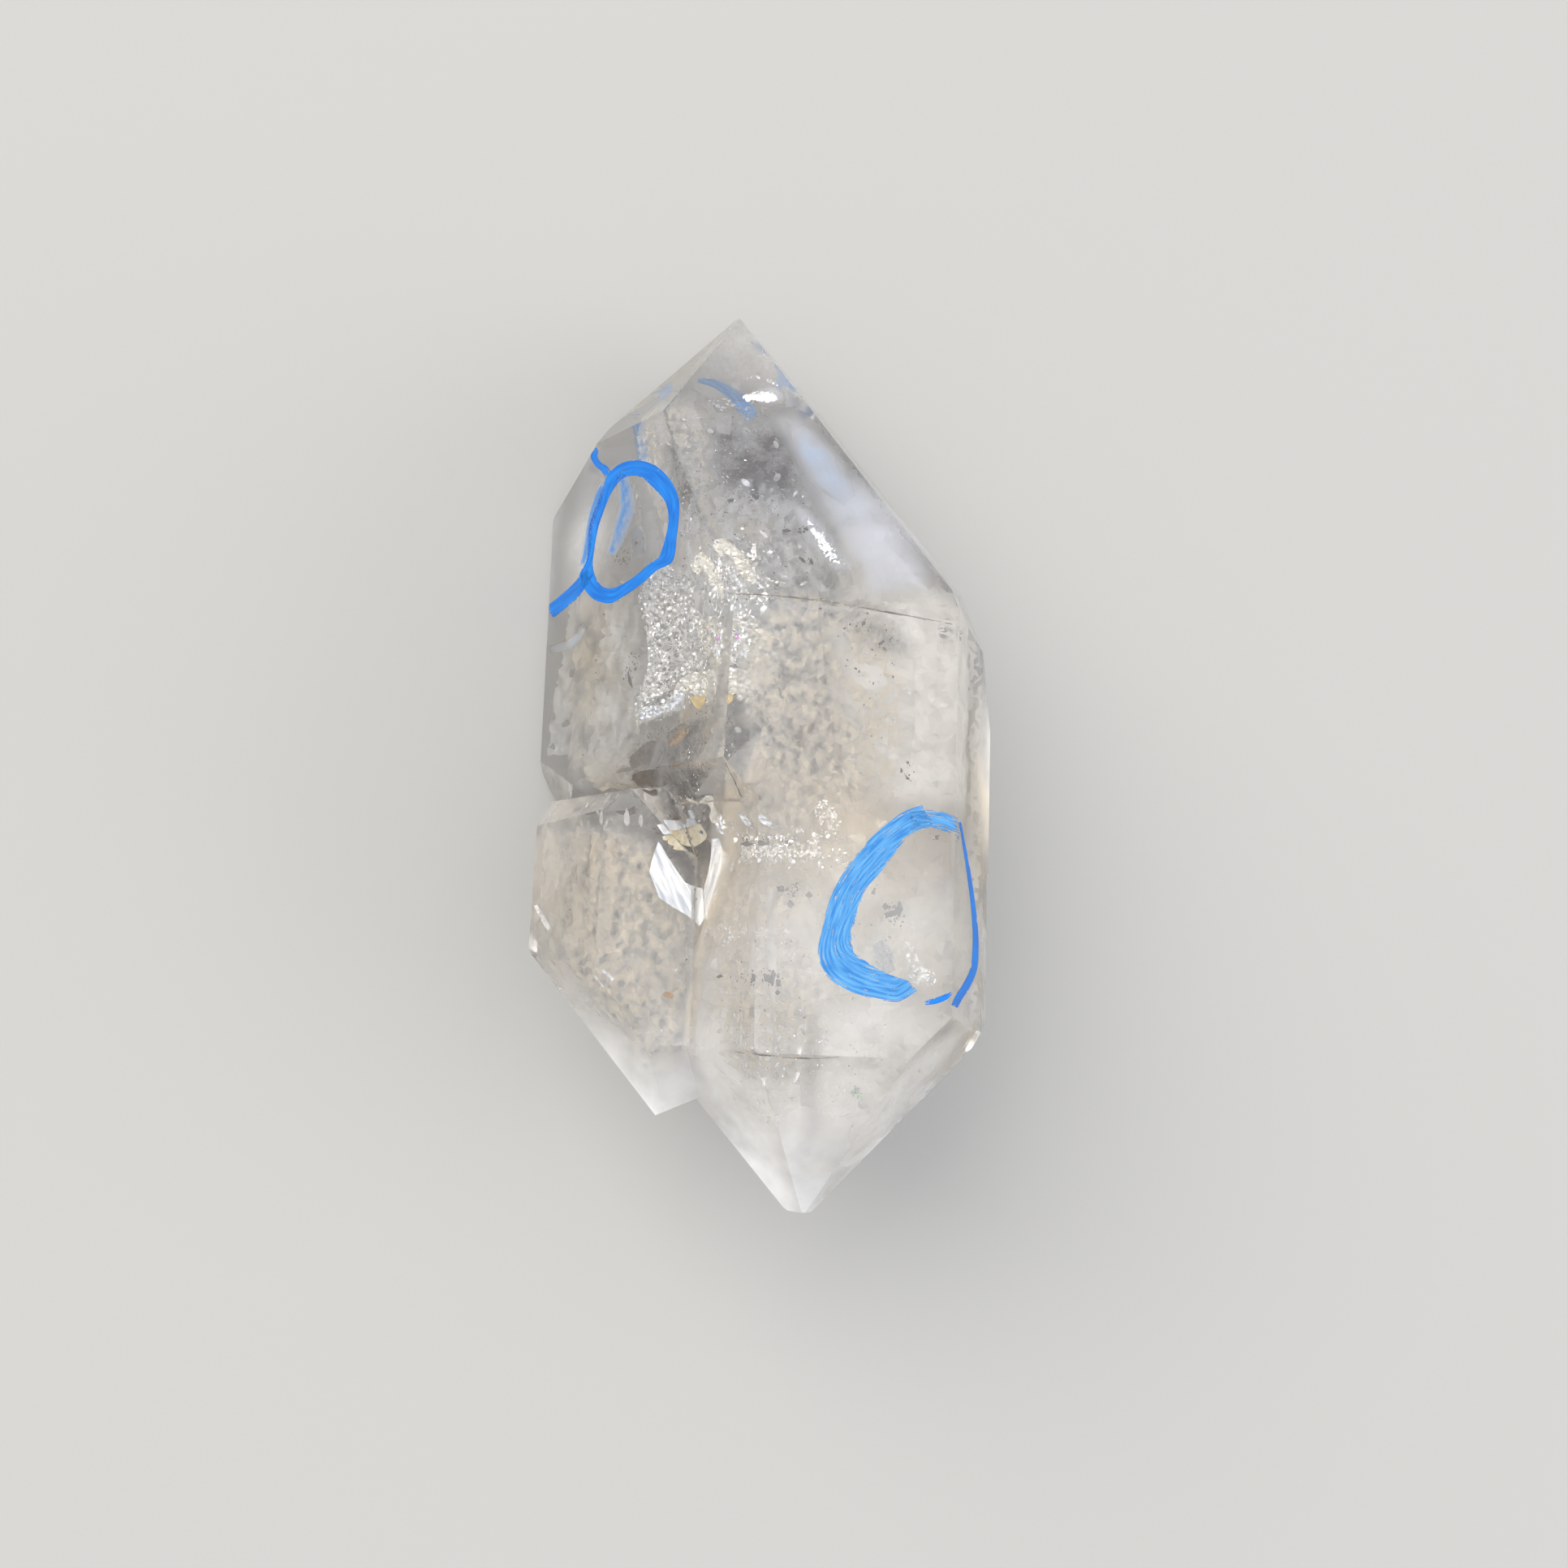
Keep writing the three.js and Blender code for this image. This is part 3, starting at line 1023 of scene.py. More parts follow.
@dataclass(frozen=True)
class Sheet:
    """A thin sheet inside the stone, outlined as it is seen in the frame.

    slope is its rise in millimetres for each millimetre to the right and upwards. A sheet that is
    not bent keeps its true shape, and each face of the stone shows its own part of it.
    """

    name: str
    rim: tuple[FramePoint, ...]
    height: float
    slope: tuple[float, float] = (0.0, 0.0)
    crumple: float = 0.15
    crumple_mm: float = 0.9
    cell: float = 0.25
    margin: float = 0.15
    fade: float = 0.6
    bent: bool = True
    angular: bool = False

    def spread_points(self, scale: float) -> tuple[np.ndarray, list[list[int]], np.ndarray]:
        """Cover the outline with small uneven triangles.

        Args:
            scale: frame points in a millimetre.
        Returns:
            The corners, the corner numbers of each triangle, and the smooth outline.
        """
        rim = np.array(self.rim, dtype=float)
        low, high = rim.min(axis=0), rim.max(axis=0)
        length = np.linalg.norm(np.roll(rim, -1, axis=0) - rim, axis=1).sum()
        step = self.cell * scale
        count = max(RIM_STEPS, int(length / step)) + 1
        border = (straight_line(self.rim, count) if self.angular
                  else smooth_line(self.rim, count, closed=True))[:-1]
        dice = np.random.default_rng(int(low[0] * 31 + high[1]))
        across, down = np.meshgrid(np.arange(low[0], high[0], step), np.arange(low[1], high[1], step))
        spots = np.column_stack([across.ravel(), down.ravel()])
        spots += dice.uniform(-GRID_STRAY, GRID_STRAY, spots.shape) * step
        spots = spots[is_inside(border, spots)]
        spots = spots[rim_distance(border, spots) > step * RIM_CLEARANCE]
        loop = list(range(len(border)))
        made = geometry.delaunay_2d_cdt([Vector(spot) for spot in np.vstack([border, spots])],
                                        list(zip(loop, loop[1:] + loop[:1])), [loop], INSIDE_RIM,
                                        SAME_CORNER)
        return np.array([tuple(corner) for corner in made[0]]), made[2], border

    def build(self, sights: Sightlines) -> Object:
        """Make the sheet's mesh, without the parts that would leave the stone.

        Args:
            sights: the lines of sight to the stone.
        Returns:
            The sheet.
        """
        scale = sights.view.points_per_mm
        flat, faces, border = self.spread_points(scale)
        middle = (border.min(axis=0) + border.max(axis=0)) / 2
        corners, kept = [], []
        for point in flat:
            right, down = (point - middle) / scale
            spot = Vector((*point, self.height * CRUMPLE_SHIFT)) / (self.crumple_mm * scale)
            bumps = noise.fractal(spot, *CRUMPLE_NOISE)
            height = self.height + right * self.slope[0] - down * self.slope[1] + bumps * self.crumple
            place = sights.at_height(point, height, self.bent)
            kept.append(place is not None and sights.holds(place, self.margin))
            corners.append(place or Vector())
        widest = LONGEST_EDGE * self.cell + 2 * self.crumple
        shown = [list(face) for face in faces if all(kept[i] for i in face)
                 and max((corners[face[i]] - corners[face[i - 1]]).length for i in range(3)) < widest]
        piece = new_piece(self.name, corners, shown)
        near_rim = np.clip(1 - rim_distance(border, flat) / (self.fade * scale), 0, 1)
        map_stroke(piece, flat / scale, near_rim)
        return piece


@dataclass(frozen=True)
class Facet(Sheet):
    """A sheet with straight sides and sharp corners."""

    angular: bool = True


@dataclass(frozen=True)
class Bench:
    """What the inner pieces are made with: the lines of sight and the two trees."""

    sights: Sightlines
    worn: WornTree
    scatter: ScatterTree


@dataclass(frozen=True)
class Film:
    """A sheet that stays a thin plate, with holes and a ragged rim."""

    sheet: Sheet
    finish: Finish
    loss: float = 0.3
    rim_loss: float = 0.1
    hole_mm: float = 0.7
    thick: float = 0.03

    def build(self, bench: Bench) -> None:
        """Make the film.

        Args:
            bench: what it is made with.
        """
        piece = self.sheet.build(bench.sights)
        bench.worn.run(piece, {
            "Length": self.hole_mm * MM, "Width": self.hole_mm * MM, "Loss": self.loss,
            "Rim loss": self.rim_loss, "Seed": len(self.sheet.name), "Material": self.finish.get()})
        plate = piece.modifiers.new("thickness", "SOLIDIFY")
        plate.thickness = self.thick * MM
        plate.offset = 0.0
        settle(piece)


@dataclass(frozen=True)
class Veil(Film):
    """A film without holes."""

    loss: float = 0.0
    rim_loss: float = 0.0
    thick: float = 0.05


@dataclass(frozen=True)
class Cloud:
    """Flecks strewn over a sheet."""

    sheet: Sheet
    finish: Finish
    per_mm2: float
    smallest: float = 0.03
    largest: float = 0.14
    flatness: float = 0.35
    tumble: float = 1.0
    spread: float = 0.6
    gap_mm: float = 1.2
    gap_level: float = 0.0
    turn: float = 1.0
    slimness: float = 1.0

    def build(self, bench: Bench) -> None:
        """Make the cloud.

        Args:
            bench: what it is made with.
        """
        piece = self.sheet.build(bench.sights)
        bench.scatter.run(piece, {
            "Per square metre": self.per_mm2 / MM ** 2, "Smallest": self.smallest * MM,
            "Largest": self.largest * MM, "Flatness": self.flatness, "Tumble": self.tumble,
            "Turn": self.turn, "Slimness": self.slimness, "Spread": self.spread * MM,
            "Gap size": self.gap_mm * MM, "Gap level": self.gap_level,
            "Seed": len(self.sheet.name) * 7 + int(self.sheet.height * 10),
            "Material": self.finish.get()})
        settle(piece)


class Inclusions:
    """A sub-assembly inside the stone, built from its parts in order."""

    parts: tuple["Film | Cloud | Lozenge", ...] = ()

    def build(self, bench: Bench) -> None:
        """Make every part."""
        for part in self.parts:
            part.build(bench)


@dataclass
class CrystalBody:
    """The clear stone itself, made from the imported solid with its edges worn."""

    finish: ClearQuartz = field(default_factory=ClearQuartz)
    joint_gap: float = 0.002
    flat_degrees: float = 0.4
    worn_edge: float = 0.12
    worn_steps: int = 2
    worn_angle: float = 12.0

    def build(self, solid: Object) -> Object:
        """Copy the solid, join its loose triangles and wear its edges.

        Args:
            solid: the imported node's object.
        Returns:
            The clear stone.
        """
        mesh = solid.data.copy()
        mesh.name = "clear_crystal"
        work = bmesh.new()
        work.from_mesh(mesh)
        bmesh.ops.remove_doubles(work, verts=work.verts, dist=self.joint_gap * MM)
        bmesh.ops.dissolve_limit(work, angle_limit=math.radians(self.flat_degrees),
                                 verts=work.verts, edges=work.edges)
        work.to_mesh(mesh)
        work.free()
        for face in mesh.polygons:
            face.use_smooth = False
        stone = link_new("clear_crystal", mesh)
        bevel = stone.modifiers.new("worn edges", "BEVEL")
        bevel.width = self.worn_edge * MM
        bevel.segments = self.worn_steps
        bevel.limit_method = "ANGLE"
        bevel.angle_limit = math.radians(self.worn_angle)
        return stone

    def dress(self, stone: Object) -> None:
        """Give the stone its finish and its place in the frame.

        Args:
            stone: the clear stone.
        """
        stone.data.materials.clear()
        stone.data.materials.append(self.finish.material())
        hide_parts(NODE)
        settle(stone)


# Slopes that sheets share, each named for the face they lie under.
UNDER_FRONT = (0.21, -0.11)
UNDER_POINT = (0.21, -0.3)
UNDER_LEFT = (0.75, -0.1)
UNDER_V = (0.75, -0.13)

# An uneven oval's corners, how far it swells and how the swelling goes round.
OVAL_CORNERS = 10
OVAL_SWELL = 0.22
OVAL_BEAT = 2.4


def round_rim(middle: FramePoint, across: float, down: float,
              lean: float = 0.0) -> tuple[FramePoint, ...]:
    """Outline an uneven oval patch.

    Args:
        middle: its middle in the frame.
        across: half its width in frame points.
        down: half its height in frame points.
        lean: how far it is turned, in degrees.
    Returns:
        The frame points round it.
    """
    turned = math.radians(lean)
    rim = []
    for step in range(OVAL_CORNERS):
        angle = step * math.tau / OVAL_CORNERS
        swell = 1 + OVAL_SWELL * math.sin(step * OVAL_BEAT + middle[0])
        x, y = across * swell * math.cos(angle), down * swell * math.sin(angle)
        rim.append((middle[0] + x * math.cos(turned) - y * math.sin(turned),
                    middle[1] + x * math.sin(turned) + y * math.cos(turned)))
    return tuple(rim)


@dataclass(frozen=True)
class Dabs:
    """Small oval patches that lie a little below the stone's face.

    marks holds the middle and half the width and height of each, in frame points. Each is turned
    by turn degrees more than the one before it.
    """

    name: str
    marks: tuple[tuple[float, float, float, float], ...]
    depth: float
    turn: int
    slope: tuple[float, float]
    crumple: float
    cell: float
    crumple_mm: float = 0.4

    def sheets(self, sights: Sightlines) -> Iterator[Sheet]:
        """Outline the patches.

        Args:
            sights: the lines of sight to the stone.
        Yields:
            The sheet of each.
        """
        for number, (x, y, across, down) in enumerate(self.marks):
            rim = round_rim((x, y), across, down, number * self.turn)
            height = sights.near_side((x, y))[0].z - self.depth
            yield Sheet(f"{self.name}_{number + 1:02d}", rim, height, self.slope, self.crumple,
                        self.crumple_mm, self.cell)


@dataclass
class HealedCracks(Inclusions):
    """White lace, silvery flakes and sparkling bands inside the stone."""

    veil_rim: tuple[FramePoint, ...] = (
        (790, 725), (850, 693), (880, 697), (902, 727), (916, 801), (880, 830), (840, 874), (792, 890),
        (783, 863), (799, 824), (797, 782))
    lumps: Dabs = Dabs("white_lump", (
        (834, 1200, 8, 14), (804, 1268, 13, 9), (800, 1129, 5, 4), (888, 1152, 14, 22),
        (1115, 853, 6, 6), (1081, 837, 5, 5), (888, 498, 18, 8), (1022, 1188, 10, 4),
        (912, 1150, 5, 24), (1100, 890, 8, 4), (1010, 1290, 14, 8), (1140, 1205, 12, 6)),
        2.0, 31, (0.2, -0.1), 0.2, 0.12)
    parts: tuple[Film | Cloud, ...] = (
        Film(Sheet("lace_veil", ((794, 717), (813, 697), (835, 700), (858, 708), (880, 730), (890, 760),
            (898, 800), (884, 842), (860, 850), (830, 850), (800, 862), (787, 861), (798, 820), (796, 770)),
            14.4, UNDER_LEFT, 0.2, 0.6, 0.12), Finish.LACE, 0.47, -0.1, 0.34),
        Film(Sheet("lace_lumps", ((795, 717), (813, 697), (824, 693), (823, 709), (817, 731), (803, 739),
            (792, 731)), 12.0, UNDER_LEFT, 0.25, 0.5, 0.11), Finish.BRIGHT_CRACK, 0.4, 0.05, 0.35),
        Film(Sheet("lace_rim", ((851, 693), (864, 680), (877, 691), (885, 704), (891, 720), (892, 737),
            (885, 739), (877, 728), (872, 715), (865, 704), (859, 708), (852, 700)), 17.5, UNDER_LEFT, 0.2,
            0.5, 0.11), Finish.CREAM, 0.34, 0.06, 0.35),
        Film(Sheet("lace_shoulder", ((862, 765), (880, 758), (896, 780), (897, 812), (880, 822),
            (866, 800)), 17.5, UNDER_LEFT, 0.3, 0.5, 0.12), Finish.CREAM, 0.46, 0.06, 0.35),
        Film(Sheet("lace_foot", ((783, 893), (789, 872), (821, 867), (837, 838), (861, 827), (883, 824),
            (885, 843), (872, 867), (848, 853), (838, 874), (824, 878), (792, 891)), 15.2, UNDER_LEFT, 0.15,
            0.5, 0.11), Finish.CREAM, 0.36, 0.06, 0.3),
        Film(Sheet("lace_foot_edge", ((786, 888), (792, 872), (820, 867), (836, 850), (842, 856),
            (836, 872), (822, 877)), 15.0, UNDER_LEFT, 0.1, 0.5, 0.1), Finish.MIRROR_CRACK, 0.34, 0.06,
            0.3),
        Film(Facet("v_flake_left", ((811, 1037), (815, 1042), (821, 1053), (832, 1070), (844, 1087),
            (855, 1093), (862, 1095), (864, 1102), (862, 1140), (847, 1128), (825, 1115), (812, 1106),
            (805, 1087), (800, 1074), (803, 1061)), 16.3, UNDER_FRONT, 0.015, 0.8, 0.12), Finish.FLAKE_LEFT,
            0.12, 0.04, 0.5),
        Film(Facet("v_flake_right", ((877, 1034), (886, 1033), (888, 1040), (891, 1049), (898, 1053),
            (896, 1066), (889, 1089), (882, 1115), (875, 1132), (869, 1133), (866, 1125), (866, 1102),
            (869, 1089), (873, 1074), (876, 1056)), 17.5, UNDER_V, 0.015, 0.8, 0.12), Finish.FLAKE_RIGHT,
            0.12, 0.04, 0.5),
        Film(Facet("v_flake_heel", ((852, 1091), (858, 1093), (866, 1095), (868, 1132), (862, 1141),
            (852, 1133)), 17.2, UNDER_V, 0.015, 0.8, 0.12), Finish.FLAKE_RIGHT, 0.1, 0.04, 0.5),
        Film(Facet("stained_flake_top", ((817, 1010), (835, 1011), (855, 1007), (859, 1015), (847, 1019),
            (832, 1023), (825, 1022)), 16.6, UNDER_FRONT, 0.03, 0.6, 0.11), Finish.FLAKE_LEFT, 0.15, 0.05,
            0.5),
        Film(Sheet("stained_flake", ((825, 1023), (832, 1023), (847, 1019), (859, 1015), (865, 1019),
            (871, 1030), (865, 1038), (855, 1043), (842, 1041), (832, 1034)), 16.5, UNDER_FRONT, 0.08, 0.6,
            0.11), Finish.STAINED, 0.25, 0.06, 0.5),
        Film(Facet("stained_flake_tab", ((847, 998), (852, 999), (857, 1008), (852, 1010)), 16.8,
            UNDER_FRONT, cell=0.1), Finish.MIRROR_CRACK, 0.1, 0.05),
        Film(Facet("cream_line", ((837, 976), (843, 981), (852, 985), (861, 989), (861, 992), (851, 988),
            (842, 984)), 16.8, cell=0.1), Finish.CREAM, 0.2, 0.02, 0.5),
        Film(Sheet("cream_hook", ((861, 991), (868, 982), (875, 980), (880, 984), (879, 992), (883, 998),
            (888, 1007), (884, 1014), (877, 1013), (874, 1005), (876, 998), (873, 992), (868, 988)), 17.6,
            (0.4, -0.1), 0.08, 0.6, 0.11), Finish.CREAM, 0.2, 0.06, 0.5),
        Film(Sheet("right_flake", ((885, 1002), (892, 1009), (897, 1018), (896, 1026), (890, 1028),
            (882, 1018), (878, 1010)), 18.0, UNDER_V, 0.08, 0.6, 0.11), Finish.MIRROR_CRACK, 0.25, 0.06,
            0.4),
        Veil(Facet("pale_shard", ((893, 935), (898, 956), (911, 974), (916, 1000), (896, 996), (876, 978),
            (856, 981), (866, 965), (880, 948)), 17.5, (0.4, 0.0), 0.03, 2.0, 0.2), Finish.SHARD,
            thick=0.04),
        Film(Facet("yellow_corner", ((849, 859), (869, 857), (868, 866), (861, 875), (854, 868)), 17.5,
            UNDER_LEFT, cell=0.11), Finish.YELLOW, 0.15, 0.05, 0.5),
        Film(Sheet("golden_fleck", ((823, 912), (832, 902), (843, 894), (849, 899), (843, 909), (831, 920),
            (825, 918)), 15.5, UNDER_LEFT, 0.1, 0.5, 0.1), Finish.GOLD, 0.3, 0.05, 0.25),
        Film(Sheet("golden_fleck_edge", ((821, 908), (830, 898), (841, 891), (848, 894), (843, 896),
            (831, 903), (824, 911)), 15.9, UNDER_LEFT, 0.1, 0.5, 0.1), Finish.GRAIN, 0.35, 0.05, 0.25),
        Film(Sheet("bright_lens", ((915, 489), (924, 484), (940, 482), (955, 485), (959, 492), (948, 496),
            (932, 494), (920, 495)), 10.3, UNDER_POINT, 0.01, 1.0, 0.07, fade=0.3), Finish.LENS, 0.24, 0.3,
            0.16),
        Film(Sheet("bright_lens_arc", ((912, 466), (930, 463), (948, 467), (962, 478), (966, 487),
            (960, 481), (946, 471), (930, 467), (914, 469)), 10.0, UNDER_POINT, 0.01, 1.0, 0.07, fade=0.2),
            Finish.LENS, 0.42, 0.2, 0.16),
        Veil(Sheet("bright_lens_glow", ((926, 484), (936, 476), (950, 474), (964, 480), (968, 492),
            (952, 501), (936, 498)), 9.8, (0.0, -0.4), 0.05, 1.0, 0.15, fade=0.5), Finish.LAVENDER_HAZE),
        Veil(Sheet("white_lens", ((976, 618), (997, 626), (1018, 646), (1036, 668), (1052, 700),
            (1046, 714), (1022, 702), (1002, 682), (984, 652)), 16.2, (0.0, -0.6), 0.12, 0.9, 0.15,
            fade=0.5), Finish.LAVENDER_HAZE),
        Film(Sheet("white_lens_heart", ((990, 638), (1002, 642), (1016, 654), (1031, 676), (1042, 698),
            (1034, 702), (1016, 688), (1002, 668)), 16.6, UNDER_POINT, 0.02, 0.9, 0.07, fade=0.5),
            Finish.LENS, 0.36, 0.3, 0.22),
        Veil(Facet("pale_quad", ((880, 508), (902, 510), (900, 536), (884, 533)), 11.5, UNDER_POINT, 0.03,
            1.0, 0.15), Finish.SHARD, thick=0.04),
        Veil(Facet("pale_shard_upper", ((841, 500), (858, 506), (866, 528), (858, 532), (846, 516)), 10.0,
            UNDER_POINT, 0.03, 1.0, 0.15), Finish.SHARD, thick=0.04),
        Film(Facet("spike_left", ((908, 696), (916, 664), (922, 696)), 17.0, (0.3, -0.2), 0.03, 0.8, 0.12),
            Finish.SHARD, 0.1, 0.0, 0.5, 0.04),
        Film(Facet("spike_right", ((913, 697), (931, 668), (933, 694)), 17.4, (0.3, -0.2), 0.03, 0.8, 0.12),
            Finish.LACE, 0.45, 0.0, 0.4),
        Film(Sheet("ring_two_veil", ((1120, 1196), (1134, 1190), (1152, 1200), (1150, 1214), (1134, 1214),
            (1122, 1208)), 21.5, UNDER_FRONT, 0.15, 0.6, 0.12), Finish.LACE, 0.4, 0.1, 0.4),
        Film(Sheet("ring_two_wisp", ((1114, 1162), (1126, 1168), (1134, 1196), (1124, 1202)), 21.5,
            UNDER_FRONT, 0.1, 0.5, 0.12), Finish.LACE, 0.42, 0.1, 0.35),
        Film(Sheet("left_edge_scratch", ((655, 1110), (660, 1112), (679, 1144), (674, 1146)), 12.0,
            (0.8, 0.0), cell=0.12, margin=0.05), Finish.BRIGHT_CRACK, 0.3, 0.1, 0.4),
        Film(Facet("white_rod_upper", ((741, 1196), (744, 1194), (757, 1206), (754, 1209)), 16.5, cell=0.1),
            Finish.BRIGHT_CRACK, 0.1, 0.0, 0.5),
        Film(Facet("waist_flake", ((909, 1003), (914, 1001), (924, 1012), (928, 1022), (918, 1016)), 20.0,
            UNDER_FRONT, cell=0.1), Finish.MIRROR_CRACK, 0.25, 0.05, 0.4),
        Film(Sheet("waist_crust", ((928, 1044), (944, 1038), (962, 1046), (984, 1044), (1004, 1030),
            (1014, 1044), (1006, 1058), (984, 1056), (960, 1058), (940, 1054)), 20.2, UNDER_FRONT, 0.08,
            0.4, 0.09), Finish.LACE, 0.44, 0.1, 0.3),
        Film(Sheet("waist_crust_right", ((1004, 992), (1020, 986), (1034, 1000), (1036, 1022), (1022, 1030),
            (1008, 1016)), 20.4, UNDER_FRONT, 0.08, 0.4, 0.09), Finish.LACE, 0.46, 0.1, 0.3),
        Film(Sheet("white_arc", ((914, 794), (918, 796), (921, 806), (918, 811), (917, 803)), 18.5,
            (0.3, -0.1), 0.01, 0.6, 0.06), Finish.LENS, 0.1, 0.05, 0.3),
        Cloud(Sheet("sparkle_veil", veil_rim, 14.5, UNDER_LEFT, 0.3), Finish.SPARKLE, 46.0, 0.03, 0.22,
            0.12, 0.12, 0.6, 0.5, 0.44),
        Cloud(Sheet("lace_grains", veil_rim, 14.2, UNDER_LEFT, 0.4), Finish.BRIGHT_CRACK, 26.0, 0.04, 0.24,
            0.4, 1.0, 0.5, 0.6, 0.46),
        Cloud(Sheet("sparkle_veil_edge", ((880, 693), (905, 700), (925, 760), (926, 810), (905, 806),
            (892, 740)), 18.5, (0.3, -0.1)), Finish.SPARKLE, 12.0, 0.03, 0.18, 0.08, 0.15),
        Cloud(Sheet("sparkle_waist", ((905, 1000), (960, 1015), (1040, 1030), (1045, 1065), (985, 1070),
            (915, 1062)), 20.0, UNDER_FRONT), Finish.SPARKLE, 26.0, 0.03, 0.18, 0.08, 0.15, gap_level=0.49),
        Cloud(Sheet("waist_grains", ((905, 1030), (960, 1038), (1035, 1040), (1040, 1060), (985, 1066),
            (915, 1060)), 19.5, UNDER_FRONT), Finish.BRIGHT_CRACK, 24.0, 0.04, 0.2, 0.4, 1.0,
            gap_level=0.5),
        Cloud(Sheet("sparkle_upper", ((830, 540), (870, 520), (960, 510), (1000, 600), (1010, 700),
            (860, 700), (835, 620)), 12.5, (0.0, -0.65), margin=1.0), Finish.SPARKLE, 9.0, 0.02, 0.14, 0.2,
            spread=2.0, gap_level=0.44),
        Cloud(Sheet("sparkle_dark", ((885, 525), (915, 514), (960, 520), (985, 580), (970, 640),
            (900, 630)), 13.0, (0.1, -0.4), margin=0.5), Finish.SPARKLE, 14.0, 0.02, 0.13, 0.2, spread=1.0,
            gap_mm=0.6, gap_level=0.5),
        Cloud(Sheet("streak_grains", ((842, 508), (860, 504), (864, 560), (862, 650), (848, 650),
            (846, 580)), 11.4, (0.3, -0.4), cell=0.12), Finish.BRIGHT_CRACK, 34.0, 0.02, 0.13, 0.3, 1.0,
            0.4, 0.8, 0.46),
        Cloud(Sheet("sparkle_side", ((740, 1100), (850, 1160), (850, 1290), (800, 1320), (740, 1240)), 14.0,
            margin=1.0), Finish.SPARKLE, 7.0, 0.02, 0.12, 0.2, spread=2.0, gap_level=0.48),
        Cloud(Sheet("sparkle_lower", ((900, 1140), (1040, 1180), (1100, 1290), (1000, 1400), (900, 1330)),
            17.8, margin=1.0), Finish.SPARKLE, 9.0, 0.02, 0.14, 0.2, spread=2.5, gap_level=0.48),
        Cloud(Sheet("sparkle_right", ((930, 780), (1100, 780), (1150, 960), (1050, 1030), (930, 1000)),
            17.5, margin=1.5), Finish.SPARKLE, 7.0, 0.02, 0.13, 0.2, spread=3.0, gap_level=0.46),
        Cloud(Sheet("sparkle_seam", ((838, 960), (900, 940), (915, 1010), (890, 1035), (845, 1000)), 16.0,
            (0.3, 0.0)), Finish.SPARKLE, 16.0, 0.02, 0.14, 0.15, spread=0.8),
        Cloud(Sheet("sparkle_left", ((700, 760), (780, 740), (790, 930), (705, 950)), 8.5, (0.9, 0.0),
            margin=0.7), Finish.SPARKLE, 4.0, 0.02, 0.10, 0.2, spread=1.2, gap_level=0.46),
        Cloud(Sheet("gold_sparks", ((897, 708), (930, 700), (962, 712), (950, 724), (905, 722)), 19.0,
            (0.3, -0.1), cell=0.15), Finish.GOLD_SPARK, 9.0, 0.02, 0.1, 0.15, 0.12),
        Cloud(Sheet("fragments_upper", ((835, 530), (885, 500), (960, 510), (1000, 600), (1040, 720),
            (870, 735), (840, 640)), 13.0, (0.1, -0.6), margin=0.9), Finish.FRAGMENT, 5.0, 0.05, 0.5, 0.05,
            0.5, 2.0, 0.8, 0.48, 0.3, 0.6),
        Cloud(Sheet("fragments_middle", ((900, 740), (1120, 770), (1150, 950), (1060, 1040), (900, 1010),
            (870, 860)), 18.0, (0.1, 0.0), margin=1.2), Finish.FRAGMENT, 4.0, 0.04, 0.4, 0.05, 0.6, 3.0,
            1.0, 0.5, 0.4, 0.6),
        Cloud(Sheet("fragments_lower", ((890, 1070), (1000, 1080), (1010, 1200), (1100, 1260), (1050, 1400),
            (980, 1440), (900, 1340)), 17.0, (0.0, 0.2), margin=1.2), Finish.FRAGMENT, 5.0, 0.05, 0.5, 0.05,
            0.6, 3.0, 1.0, 0.5, 0.3, 0.5),
        Cloud(Sheet("fragments_side", ((700, 1000), (800, 1000), (850, 1150), (850, 1290), (800, 1330),
            (700, 1180)), 13.5, (0.1, 0.0), margin=0.9), Finish.FRAGMENT, 5.0, 0.05, 0.5, 0.05, 0.6, 2.5,
            1.0, 0.5, 0.3, 0.5),
        Cloud(Sheet("fragments_left", ((690, 640), (780, 600), (800, 760), (800, 930), (700, 950)), 8.5,
            (0.75, 0.0), margin=0.8), Finish.FRAGMENT, 6.0, 0.05, 0.5, 0.05, 0.5, 1.6, 1.0, 0.48, 0.2, 0.4),
        Cloud(Sheet("green_sparks", round_rim((1053, 1347), 8, 7), 19.6, cell=0.12), Finish.GREEN_SPARK,
            34.0, 0.12, 0.26, 0.3),
        Cloud(Sheet("pink_sparks", round_rim((912, 780), 5, 18), 19.5, cell=0.12), Finish.PINK_SPARK, 10.0,
            0.08, 0.2, 0.3),
        Cloud(Sheet("bright_dots", ((893, 700), (907, 704), (914, 750), (918, 800), (908, 806), (900, 760)),
            19.2, (0.3, -0.1), cell=0.12), Finish.SPARKLE, 14.0, 0.08, 0.3, 0.3, 0.12, 0.4),
    )

    def build(self, bench: Bench) -> None:
        """Make every film and band, and the white lumps.

        Args:
            bench: what they are made with.
        """
        super().build(bench)
        for sheet in self.lumps.sheets(bench.sights):
            Cloud(sheet, Finish.BRIGHT_CRACK, 40.0, 0.03, 0.2, 0.4, 1.0, 0.3, 0.35, 0.47).build(bench)


